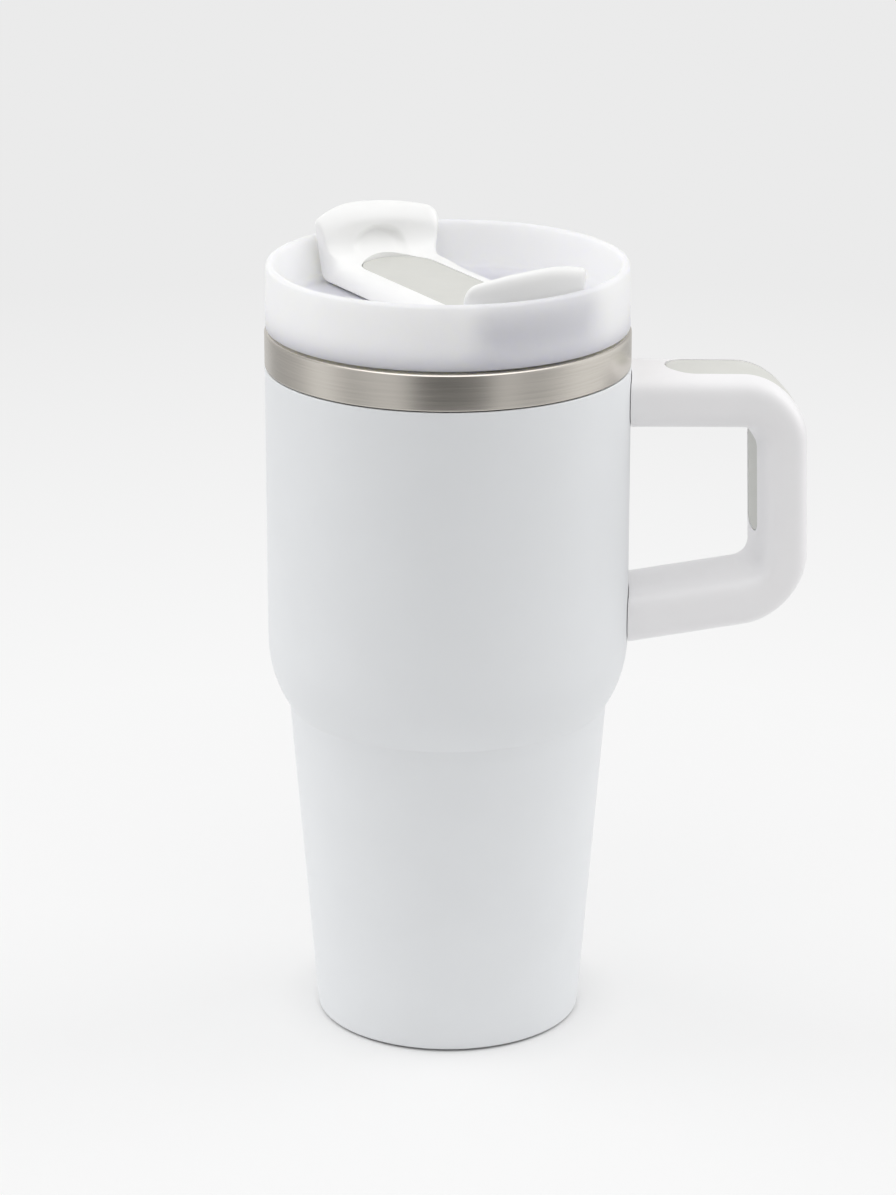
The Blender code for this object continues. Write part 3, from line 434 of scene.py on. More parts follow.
def turning_tree():
    """Turns an outline about Z."""
    tree, given = new_tree("turning", (("Outline", "NodeSocketObject"), ("Segments", "NodeSocketInt"),
                                       ("Weld Distance", "NodeSocketFloat"), ("Material", "NodeSocketMaterial")))
    circle = add_node(tree, "GeometryNodeCurvePrimitiveCircle",
                      {"Resolution": given["Segments"], "Radius": TURNING_RADIUS})
    swept = add_node(tree, "GeometryNodeCurveToMesh", {"Curve": circle.outputs[0],
                                                       "Profile Curve": line_nodes(tree, given["Outline"])})
    welded = add_node(tree, "GeometryNodeMergeByDistance",
                      {"Geometry": swept.outputs[0], "Distance": given["Weld Distance"]})
    return end_tree(tree, welded.outputs[0], given["Material"])


def thread_tree():
    """Winds a ridge round Z that sinks back into its wall at both ends."""
    tree, given = new_tree("thread", (("Section", "NodeSocketObject"), ("Wall Radius", "NodeSocketFloat"),
                                      ("Lead", "NodeSocketFloat"), ("Turns", "NodeSocketFloat"),
                                      ("Run Out", "NodeSocketFloat"), ("Start", "NodeSocketVector"),
                                      ("Material", "NodeSocketMaterial")))
    rise = add_node(tree, "ShaderNodeMath", {0: given["Lead"], 1: given["Turns"]}, operation="MULTIPLY")
    spiral = add_node(tree, "GeometryNodeCurveSpiral", {
        "Resolution": SEGMENTS // 2, "Rotations": given["Turns"], "Start Radius": given["Wall Radius"],
        "End Radius": given["Wall Radius"], "Height": rise.outputs[0]})
    upright = add_node(tree, "GeometryNodeSetCurveNormal", {"Curve": spiral.outputs[0]})
    upright.mode = "Z_UP"
    place = add_node(tree, "GeometryNodeSplineParameter").outputs["Factor"]
    from_end = add_node(tree, "ShaderNodeMath", {0: 1.0, 1: place}, operation="SUBTRACT")
    nearest = add_node(tree, "ShaderNodeMath", {0: place, 1: from_end.outputs[0]}, operation="MINIMUM")
    swell = add_node(tree, "ShaderNodeMapRange", {"Value": nearest.outputs[0], "From Max": given["Run Out"],
                                                  "To Min": 0.15})
    swept = add_node(tree, "GeometryNodeCurveToMesh", {
        "Curve": upright.outputs[0], "Profile Curve": line_nodes(tree, given["Section"]),
        "Scale": swell.outputs[0], "Fill Caps": True})
    raised = add_node(tree, "GeometryNodeTransform",
                      {"Geometry": swept.outputs[0], "Translation": given["Start"]})
    return end_tree(tree, raised.outputs[0], given["Material"])


def handle_tree():
    """Sweeps the handle's section along its middle line and thins it where the line stands upright."""
    tree, given = new_tree("handle_sweep", (("Middle Line", "NodeSocketObject"), ("Section", "NodeSocketObject"),
                                            ("Grip Share", "NodeSocketFloat"), ("Bend Thinning", "NodeSocketFloat"),
                                            ("Material", "NodeSocketMaterial")))
    kept = tree.nodes.new("GeometryNodeCaptureAttribute")
    kept.capture_items.new("VECTOR", "Middle")
    kept.capture_items.new("VECTOR", "Along")
    position = add_node(tree, "GeometryNodeInputPosition").outputs[0]
    tangent = add_node(tree, "GeometryNodeInputTangent").outputs[0]
    tree.links.new(line_nodes(tree, given["Middle Line"]), kept.inputs["Geometry"])
    tree.links.new(position, kept.inputs["Middle"])
    tree.links.new(tangent, kept.inputs["Along"])
    swept = add_node(tree, "GeometryNodeCurveToMesh", {
        "Curve": kept.outputs["Geometry"], "Profile Curve": line_nodes(tree, given["Section"]), "Fill Caps": True})
    upright = add_node(tree, "ShaderNodeSeparateXYZ", {0: kept.outputs["Along"]}).outputs["Z"]
    square = add_node(tree, "ShaderNodeMath", {0: upright, 1: upright}, operation="MULTIPLY").outputs[0]
    plain = add_node(tree, "ShaderNodeMapRange", {"Value": square, "To Min": 1.0, "To Max": given["Grip Share"]})
    fourth = add_node(tree, "ShaderNodeMath", {0: square, 1: square}, operation="MULTIPLY")
    bend = add_node(tree, "ShaderNodeMath", {0: square, 1: fourth.outputs[0]}, operation="SUBTRACT")
    thinner = add_node(tree, "ShaderNodeMath", {0: given["Bend Thinning"], 1: -4.0}, operation="MULTIPLY")
    share = add_node(tree, "ShaderNodeMath", {0: bend.outputs[0], 1: thinner.outputs[0], 2: plain.outputs[0]},
                     operation="MULTIPLY_ADD").outputs[0]
    scale = add_node(tree, "ShaderNodeCombineXYZ", {"X": share, "Y": 1.0, "Z": share})
    offset = add_node(tree, "ShaderNodeVectorMath", {0: position, 1: kept.outputs["Middle"]}, operation="SUBTRACT")
    moved = add_node(tree, "ShaderNodeVectorMath", {0: offset.outputs[0], 1: scale.outputs[0],
                                                    2: kept.outputs["Middle"]}, operation="MULTIPLY_ADD")
    shaped = add_node(tree, "GeometryNodeSetPosition", {"Geometry": swept.outputs[0], "Position": moved.outputs[0]})
    return end_tree(tree, shaped.outputs[0], given["Material"])


def scatter_tree():
    """Sets one shape at each place, turned as the place says."""
    tree, given = new_tree("fittings", (("Places", "NodeSocketObject"), ("Shape", "NodeSocketObject"),
                                        ("Material", "NodeSocketMaterial")))
    places = add_node(tree, "GeometryNodeObjectInfo", {"Object": given["Places"]})
    shape = add_node(tree, "GeometryNodeObjectInfo", {"Object": given["Shape"], "As Instance": True})
    tilt = add_node(tree, "GeometryNodeInputNamedAttribute", {"Name": "tilt"}, data_type="FLOAT_VECTOR")
    copies = add_node(tree, "GeometryNodeInstanceOnPoints", {
        "Points": places.outputs["Geometry"], "Instance": shape.outputs["Geometry"],
        "Rotation": tilt.outputs["Attribute"]})
    return end_tree(tree, copies.outputs[0], given["Material"])


def grown(name, tree, inputs, guides):
    """A piece that a node tree makes, as a plain closed mesh; its guides are removed."""
    piece = link(bpy.data.objects.new(name, bpy.data.meshes.new(name)))
    modifier = piece.modifiers.new(tree.name, "NODES")
    modifier.node_group = tree
    for item in tree.interface.items_tree:
        if item.in_out == "INPUT":
            modifier[item.identifier] = inputs[item.name]
    evaluated(piece)
    for thing in guides:
        bpy.data.objects.remove(thing)
    return tidy(piece)


def turned(name, outline, material, segments=SEGMENTS):
    """A body turned about Z; an outline that doesn't start on the axis is a closed loop."""
    closed = outline[0].x > WELD_DISTANCE
    line = guide(name + "_outline", [(point.x - TURNING_RADIUS, -point.y) for point in outline], closed)
    return grown(name, turning_tree(), {"Outline": line, "Segments": segments, "Weld Distance": WELD_DISTANCE,
                                        "Material": material}, [line])


def thread(name, wall_radius, depth, low, turns, material):
    """A thread on a wall; a negative depth stands inwards."""
    lid = bpy.context.scene.tumbler_lid
    root = -math.copysign(0.4 * MM, depth)
    half_root = lid.thread_root / 2
    half_crest = lid.thread_crest / 2
    section = [(root, half_root), (depth, half_crest), (depth, -half_crest), (root, -half_root)]
    line = guide(name + "_section", section, True)
    return grown(name, thread_tree(), {
        "Section": line, "Wall Radius": wall_radius, "Lead": lid.thread_lead, "Turns": turns,
        "Run Out": 0.06, "Start": (0, 0, low), "Material": material}, [line])


# Finishes

def new_material(name):
    material = bpy.data.materials.new(name)
    material.use_nodes = True
    tree = material.node_tree
    return material, tree, tree.nodes["Principled BSDF"]


def grain(tree, size, detail=2.0, stretch=(1, 1, 1)):
    """A noise whose grains are about a size in metres, longer along an axis by its stretch."""
    place = add_node(tree, "ShaderNodeTexCoord").outputs["Object"]
    scale = tuple(1 / (size * factor) for factor in stretch)
    mapped = add_node(tree, "ShaderNodeMapping", {"Vector": place, "Scale": scale})
    return add_node(tree, "ShaderNodeTexNoise", {"Vector": mapped.outputs[0], "Scale": 1.0,
                                                 "Detail": detail}).outputs[0]


def tint(tree, shader, pattern, base, spread):
    """Colours the surface with a base that a pattern lightens and darkens by a small share."""
    ramp = add_node(tree, "ShaderNodeMapRange", {"Value": pattern, "From Min": 0.3, "From Max": 0.7,
                                                 "To Min": 1 - spread, "To Max": 1 + spread})
    toned = add_node(tree, "ShaderNodeVectorMath", {0: tuple(base), "Scale": ramp.outputs[0]}, operation="SCALE")
    tree.links.new(toned.outputs[0], shader.inputs["Base Color"])


def vary(tree, socket, pattern, low, high):
    """Drives a shader's socket between two values by a pattern."""
    ramp = add_node(tree, "ShaderNodeMapRange", {"Value": pattern, "From Min": 0.3, "From Max": 0.7,
                                                 "To Min": low, "To Max": high})
    tree.links.new(ramp.outputs[0], socket)


def emboss(tree, shader, pattern, depth, strength):
    """Lifts the surface by a pattern."""
    bump = add_node(tree, "ShaderNodeBump", {"Height": pattern, "Distance": depth, "Strength": strength})
    tree.links.new(bump.outputs[0], shader.inputs["Normal"])


def powder_coat():
    """Polyester powder, sprayed and baked: satin white with a soft orange peel of about 1 mm."""
    material, tree, shader = new_material("powder_coated_steel")
    tint(tree, shader, grain(tree, 18 * MM), bpy.context.scene.tumbler_colours.powder_coat, 0.008)
    vary(tree, shader.inputs["Roughness"], grain(tree, 0.5 * MM), 0.42, 0.5)
    emboss(tree, shader, grain(tree, 1.1 * MM), 0.05 * MM, 0.16)
    return material


def brushed_steel():
    """Stainless 304 brushed while it turns: fine lines round the axis that streak its reflections.

    The real lines are about 0.05 mm apart; they are drawn at 0.22 mm so that they show.
    """
    material, tree, shader = new_material("brushed_stainless_steel")
    lines = grain(tree, 0.22 * MM, 3.0, (120, 120, 1))
    shader.inputs["Metallic"].default_value = 1.0
    tint(tree, shader, lines, bpy.context.scene.tumbler_colours.steel, 0.05)
    vary(tree, shader.inputs["Roughness"], lines, 0.2, 0.25)
    emboss(tree, shader, lines, 0.02 * MM, 0.08)
    shader.inputs["Anisotropic"].default_value = 0.8
    return material


def spun_steel():
    """Stainless 304 spun on a lathe: a satin face with fine rings."""
    material, tree, shader = new_material("spun_stainless_steel")
    place = add_node(tree, "ShaderNodeTexCoord").outputs["Object"]
    flat = add_node(tree, "ShaderNodeVectorMath", {0: place, 1: (1, 1, 0)}, operation="MULTIPLY")
    radius = add_node(tree, "ShaderNodeVectorMath", {0: flat.outputs[0]}, operation="LENGTH")
    rings = add_node(tree, "ShaderNodeTexNoise", {"W": radius.outputs["Value"], "Scale": 1 / (0.3 * MM)},
                     noise_dimensions="1D").outputs[0]
    shader.inputs["Metallic"].default_value = 1.0
    tint(tree, shader, rings, bpy.context.scene.tumbler_colours.bare_steel, 0.08)
    vary(tree, shader.inputs["Roughness"], rings, 0.3, 0.42)
    emboss(tree, shader, rings, 0.03 * MM, 0.3)
    return material


def stamped_steel():
    """Stainless sheet and wire as they leave the press: dull, with a fine random grain."""
    material, tree, shader = new_material("stamped_stainless_steel")
    rough = grain(tree, 0.4 * MM, 3.0)
    shader.inputs["Metallic"].default_value = 1.0
    tint(tree, shader, rough, bpy.context.scene.tumbler_colours.bare_steel, 0.08)
    vary(tree, shader.inputs["Roughness"], rough, 0.32, 0.48)
    emboss(tree, shader, rough, 0.03 * MM, 0.2)
    return material


def white_abs():
    """ABS from a polished mould: dense white with a soft gloss and a faint ripple."""
    material, tree, shader = new_material("moulded_white_abs")
    tint(tree, shader, grain(tree, 9 * MM), bpy.context.scene.tumbler_colours.white_abs, 0.006)
    vary(tree, shader.inputs["Roughness"], grain(tree, 0.6 * MM), 0.3, 0.36)
    emboss(tree, shader, grain(tree, 2.5 * MM), 0.02 * MM, 0.12)
    return material


def white_polypropylene():
    """Polypropylene from a spark-eroded mould: satin white with a very fine even grain."""
    material, tree, shader = new_material("moulded_white_polypropylene")
    tint(tree, shader, grain(tree, 14 * MM), bpy.context.scene.tumbler_colours.white_polypropylene, 0.008)
    vary(tree, shader.inputs["Roughness"], grain(tree, 0.5 * MM), 0.4, 0.48)
    emboss(tree, shader, grain(tree, 0.45 * MM), 0.03 * MM, 0.12)
    return material


def frosted_polypropylene():
    """Unfilled polypropylene from a polished mould: milky, so that light glows through it, with a glossy skin."""
    material, tree, shader = new_material("milky_polypropylene")
    tint(tree, shader, grain(tree, 12 * MM), bpy.context.scene.tumbler_colours.frosted_polypropylene, 0.006)
    vary(tree, shader.inputs["Roughness"], grain(tree, 0.7 * MM), 0.4, 0.48)
    emboss(tree, shader, grain(tree, 1.4 * MM), 0.03 * MM, 0.08)
    shader.inputs["IOR"].default_value = 1.49
    shader.inputs["Subsurface Weight"].default_value = 1.0
    shader.inputs["Subsurface Radius"].default_value = (1.0, 1.0, 0.8)
    shader.inputs["Subsurface Scale"].default_value = 12 * MM
    shader.inputs["Specular IOR Level"].default_value = 0.25
    shader.inputs["Coat Weight"].default_value = 0.12
    shader.inputs["Coat Roughness"].default_value = 0.05
    return material


def grey_rubber(base):
    """Thermoplastic rubber moulded over the hard plastic: matt grey with a fine stipple."""
    material, tree, shader = new_material("moulded_grey_soft_rubber")
    stipple = grain(tree, 0.5 * MM, 1.0)
    tint(tree, shader, grain(tree, 6 * MM), base, 0.012)
    vary(tree, shader.inputs["Roughness"], stipple, 0.62, 0.72)
    emboss(tree, shader, stipple, 0.04 * MM, 0.3)
    return material


def silicone():
    """Cured silicone: milky, slightly glossy where it was moulded, with a faint bloom."""
    material, tree, shader = new_material("moulded_milky_silicone")
    tint(tree, shader, grain(tree, 5 * MM), bpy.context.scene.tumbler_colours.silicone, 0.015)
    vary(tree, shader.inputs["Roughness"], grain(tree, 0.8 * MM), 0.45, 0.6)
    emboss(tree, shader, grain(tree, 0.8 * MM), 0.02 * MM, 0.15)
    shader.inputs["IOR"].default_value = 1.41
    return material


def solder_glass():
    """Lead-free solder glass, fused in place: dark, glassy, with small bubbles."""
    material, tree, shader = new_material("fused_solder_glass")
    bubbles = add_node(tree, "ShaderNodeTexVoronoi", {
        "Vector": add_node(tree, "ShaderNodeTexCoord").outputs["Object"], "Scale": 1 / (0.9 * MM)}).outputs[0]
    tint(tree, shader, bubbles, linear("6B7076"), 0.2)
    vary(tree, shader.inputs["Roughness"], bubbles, 0.12, 0.25)
    emboss(tree, shader, bubbles, 0.05 * MM, 0.3)
    shader.inputs["IOR"].default_value = 1.7
    return material


def getter_alloy():
    """Pressed and sintered zirconium alloy: dark, dull and grainy."""
    material, tree, shader = new_material("sintered_getter_alloy")
    grit = grain(tree, 0.35 * MM, 3.0)
    shader.inputs["Metallic"].default_value = 1.0
    tint(tree, shader, grit, linear("8C8A86"), 0.15)
    vary(tree, shader.inputs["Roughness"], grit, 0.55, 0.7)
    emboss(tree, shader, grit, 0.06 * MM, 0.5)
    return material


def white_acetal():
    """Acetal turned from bar: slick white with faint tool rings."""
    material, tree, shader = new_material("turned_white_acetal")
    tool_marks = grain(tree, 0.3 * MM, 1.0, (20, 20, 1))
    tint(tree, shader, tool_marks, linear("ECECEA"), 0.01)
    vary(tree, shader.inputs["Roughness"], tool_marks, 0.34, 0.42)
    emboss(tree, shader, tool_marks, 0.02 * MM, 0.15)
    return material


def white_paper():
    """Matt white paper on a grey table: even, with a faint tooth; it keeps a share of the shadows that fall on it, and
    the glow that the camera and reflections see dims towards the table's edge as painted shade.
    """
    material, tree, shader = new_material("matt_white_paper")
    place = add_node(tree, "ShaderNodeTexCoord").outputs["Object"]
    radius = add_node(tree, "ShaderNodeVectorMath", {0: place}, operation="LENGTH").outputs["Value"]

    def between(near, far, at_near, at_far):
        return add_node(tree, "ShaderNodeMapRange", {"Value": radius, "From Min": near, "From Max": far,
                                                     "To Min": at_near, "To Max": at_far}).outputs[0]

    shade = between(SHEET_RADIUS, TABLE_RADIUS, 1.0, TABLE_SHADE)
    base = add_node(tree, "ShaderNodeVectorMath", {0: tuple(bpy.context.scene.tumbler_colours.paper), "Scale": shade},
                    operation="SCALE")
    tree.links.new(base.outputs[0], shader.inputs["Base Color"])
    emboss(tree, shader, grain(tree, 1.5 * MM), 0.05 * MM, 0.1)
    shader.inputs["Roughness"].default_value = 0.9
    shader.inputs["Specular IOR Level"].default_value = 0.0
    # The glow dims from the sheet to the table's edge: painted shade where the lamps' light falls off.
    glow = add_node(tree, "ShaderNodeEmission", {
        "Strength": between(SHEET_RADIUS, TABLE_RADIUS, FLOOR_GLOW_LEVEL, FAR_GLOW_PAINTED_SHADE_LEVEL)})
    clear = add_node(tree, "ShaderNodeMath", {
        0: between(CAP_HIGH.x, CAP_HIGH.x + CONTACT_FADE, 0.0, FLOOR_GLOW),
        1: between(SHADOW_RADIUS, SHEET_RADIUS, 0.0, 1 - FLOOR_GLOW)}, operation="ADD")
    share = add_node(tree, "ShaderNodeMath", {0: seen_rays(tree), 1: clear.outputs[0]}, operation="MULTIPLY")
    mixed = add_node(tree, "ShaderNodeMixShader", {"Fac": share.outputs[0], 1: shader.outputs[0], 2: glow.outputs[0]})
    tree.links.new(mixed.outputs[0], tree.nodes["Material Output"].inputs["Surface"])
    return material


# Cup

def shell_corners(cup):
    """Corners of the shell's outer face, from the foot to the band."""
    return [(cup.base_radius, SHELL_LOW.z, cup.foot_rounding),
            (cup.neck_radius, cup.neck_height, cup.neck_fillet),
            (cup.body_radius, cup.neck_height + cup.shoulder_rise, cup.shoulder_fillet),
            (cup.body_radius, SHELL_HIGH.z, SEAT_GAP)]


def taper_radius(cup, distance, height):
    """Radius of the lower wall at a height, at a distance inside the shell's outer face."""
    low, high = inset(shell_corners(cup), distance)[:2]
    share = (height - low[1]) / (high[1] - low[1])
    return low[0] + (high[0] - low[0]) * share


def make_shell(cup):
    outside = shell_corners(cup)
    inside = inset(outside, cup.shell_wall)
    inside[0] = (*inside[0][:2], 0)
    inside[-1] = (*inside[-1][:2], 0)
    shell = turned("coated_shell", rounded(outside + inside[::-1], closed=True), powder_coat())
    hand_over(shell, "cup", "powder_coat", "outer_shell")


def make_liner(cup, lid):
    """The liner's mouth rolls over and comes down outside as the bare band."""
    outer_way = cup.shell_wall + cup.vacuum_gap
    inner_way = outer_way + cup.liner_wall
    inside = inset(shell_corners(cup), inner_way)
    outside = inset(shell_corners(cup), outer_way)
    foot = LINER_LOW.z
    floor = foot + cup.liner_wall
    mouth = cup.body_radius - cup.lip_width
    thread_low = liner_thread_low(lid)
    step_high = thread_low - lid.thread_root
    step_low = step_high - cup.lip_width / 2
    fold_top = LINER_HIGH.z - cup.lip_thickness
    corners = [
        (0, floor, 0),
        (taper_radius(cup, inner_way, floor), floor, cup.liner_corner - cup.liner_wall),
        inside[1],
        inside[2],
        (inside[3][0], step_low, cup.liner_wall),
        (mouth, step_high, cup.liner_wall),
        (mouth, LINER_HIGH.z, cup.lip_rounding),
        (cup.body_radius, LINER_HIGH.z, cup.lip_rounding),
        (cup.body_radius, BAND_LOW, SEAT_GAP),
        (cup.body_radius - cup.band_wall, BAND_LOW, SEAT_GAP),
        (cup.body_radius - cup.band_wall, fold_top, SEAT_GAP),
        (mouth + cup.liner_wall, fold_top, SEAT_GAP),
        (mouth + cup.liner_wall, step_high, cup.liner_wall),
        (outside[3][0], step_low, cup.liner_wall),
        outside[2],
        outside[1],
        (taper_radius(cup, outer_way, foot), foot, cup.liner_corner),
        (0, foot, 0),
    ]
    steel = brushed_steel()
    liner = turned("steel_liner", rounded(corners), steel)
    ridge = thread("liner_ridge", mouth, -lid.thread_depth, thread_low, THREAD_TURNS, steel)
    carve(liner, [ridge], "UNION")
    hand_over(liner, "cup", "brushed_steel", "inner_liner")


def make_foot(cup):
    cap = [(0, CAP_LOW.z, 0), (CAP_HIGH.x, CAP_LOW.z, cup.cap_rounding), (CAP_HIGH.x, CAP_HIGH.z, SEAT_GAP),
           (CAP_HIGH.x - cup.cap_wall, CAP_HIGH.z, SEAT_GAP),
           (CAP_HIGH.x - cup.cap_wall, CAP_LOW.z + cup.cap_wall, cup.cap_rounding),
           (0, CAP_LOW.z + cup.cap_wall, 0)]
    foot = turned("foot_cap", rounded(cap), spun_steel())
    hand_over(foot, "cup", "cap_steel", "base_cap")


# Lid

THREAD_TURNS = 1.1
THREAD_MARGIN = 0.5 * MM
THREAD_CLEARANCE = 0.4 * MM
SIP_MARGIN = 4.9 * MM
STRAW_MARGIN = 8.4 * MM
STEM_RADIUS = 4.0 * MM
STEM_CLEARANCE = 0.4 * MM
SEAL_WELL_RADIUS = 7.0 * MM
SEAL_WELL_DEPTH = 1.2 * MM


def liner_thread_low(lid):
    """Height of the liner's thread at its lower end."""
    return RING_LOW.z - THREAD_MARGIN - lid.thread_root / 2 - lid.thread_lead * THREAD_TURNS


def floor_height(lid):
    return LID_HIGH.z - lid.recess_depth


def lid_radii(cup, lid):
    """Radii of the skirt's outside and bore, and of the recess."""
    skirt = RING_LOW_RADIUS - SEAT_GAP
    recess = cup.body_radius - lid.foot_inset - lid.taper - lid.wall
    return skirt, skirt - lid.skirt_wall, recess


RING_LOW_RADIUS = min(math.hypot(corner.co.x, corner.co.y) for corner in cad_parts["lid_gasket"].data.vertices)


def cover_frame(cup_turn, lid):
    """Where the cover's own axes are at rest."""
    return Matrix.Translation((0, 0, floor_height(lid))) @ Matrix.Rotation(cup_turn, 4, "Z")


def make_lid(cup, lid, cover):
    """Collar, floor and threaded skirt in one moulding, with its two openings."""
    skirt, bore, recess = lid_radii(cup, lid)
    foot = cup.body_radius - lid.foot_inset
    floor = floor_height(lid)
    floor_low = floor - lid.floor_thickness
    well_floor = floor - SEAL_WELL_DEPTH
    stem_bore = STEM_RADIUS + STEM_CLEARANCE
    corners = [
        (stem_bore, floor_low, 0),
        (stem_bore, well_floor, 0),
        (SEAL_WELL_RADIUS, well_floor, 0),
        (SEAL_WELL_RADIUS, floor, 0),
        (recess, floor, lid.recess_fillet),
        (recess, LID_HIGH.z, lid.rounding),
        (foot - lid.taper, LID_HIGH.z, lid.rounding),
        (foot, LID_SEAT, lid.foot_inset),
        (skirt, LID_SEAT, SEAT_GAP),
        (skirt, LID_LOW.z + lid.skirt_lead_in, 0),
        (skirt - lid.skirt_lead_in, LID_LOW.z, 0),
        (bore, LID_LOW.z, SEAT_GAP),
        (bore, floor_low, lid.skirt_wall / 2),
    ]
    plastic = frosted_polypropylene()
    piece = turned("frosted_lid", rounded(corners, closed=True), plastic)
    thread_low = LID_LOW.z + THREAD_MARGIN + lid.thread_root / 2
    crest = cup.body_radius - cup.lip_width - THREAD_CLEARANCE - skirt
    carve(piece, [thread("lid_ridge", skirt, crest, thread_low, THREAD_TURNS, plastic)], "UNION")
    sip = bore - SIP_MARGIN - lid.sip_width / 2
    straw = bore - STRAW_MARGIN - lid.straw_radius
    slot = [(point.y - sip, point.x) for point in stadium(lid.sip_length, lid.sip_width)]
    hole = [(point.x + straw, point.y) for point in stadium(2 * lid.straw_radius, 2 * lid.straw_radius)]
    at_rest = cover_frame(cover.turn, lid)
    deep = 2 * lid.floor_thickness
    carve(piece, [settle(prism("opening", outline, -deep, lid.floor_thickness), at_rest)
                  for outline in (slot, hole)])
    hand_over(piece, "lid", "frosted_plastic", "lid_body")


def make_ring():
    """The silicone ring under the collar, with two soft lips."""
    middle = (RING_LOW.z + RING_HIGH.z) / 2
    inside = RING_LOW_RADIUS
    outside = RING_HIGH.x
    lip = (RING_HIGH.z - RING_LOW.z) / 4
    corners = [(inside, RING_LOW.z, SEAT_GAP), (outside, RING_LOW.z, lip / 2),
               (outside, RING_LOW.z + lip, lip / 2), (outside - lip, middle, lip / 2),
               (outside, RING_HIGH.z - lip, lip / 2), (outside, RING_HIGH.z, lip / 2),
               (inside, RING_HIGH.z, SEAT_GAP)]
    ring = turned("silicone_ring", rounded(corners, closed=True), silicone())
    hand_over(ring, "gasket", "silicone", "lid_gasket")


# Rotating cover

FLAT_ROWS = 16
RISING_ROWS = 64
COLUMNS = 96
SEAM_SHARE = 0.86
FRONT_SEAM_SHARE = 0.6
BAR_SIDE_POWER = 2.4
EDGE_POWER = 2.4
EDGE_RISE = 3.0 * MM
FLARE_START = 0.35
CREST_APEX = 0.3
CREST_POWER = 1.55
FACE_BOW = 1.0 * MM
OUTER_FOOT_ROUNDING = 2.2 * MM
DISH_HALF_WIDTH = 7.6 * MM
DISH_HALF_HEIGHT = 5.8 * MM
DISH_MIDDLE = 2.2 * MM
DISH_LEAN = 0.28
DISH_DEPTH = 0.9 * MM
DISH_RIM_SHARE = 0.6
TAB_CLEARANCE = 1.0 * MM
SEAL_PAD_MARGIN = 1.2 * MM
SEAL_PAD_THICKNESS = 1.3 * MM
PAD_THICKNESS = 1.2 * MM
PAD_GAP = 0.15 * MM


def soft_edge(distance, rounding, power):
    """Share of the full height left at a distance in from an edge."""
    if distance >= rounding:
        return 1.0
    return (1 - (1 - max(distance - WELD_DISTANCE, 0) / rounding) ** power) ** (1 / power)


def quarter(radius, height):
    """How far a quarter round has come out at a height."""
    return math.sqrt(max(radius ** 2 - (radius - min(max(height, 0), radius)) ** 2, 0))


def smooth(share):
    """A soft step from nought to one."""
    share = min(max(share, 0), 1)
    return share * share * (3 - 2 * share)


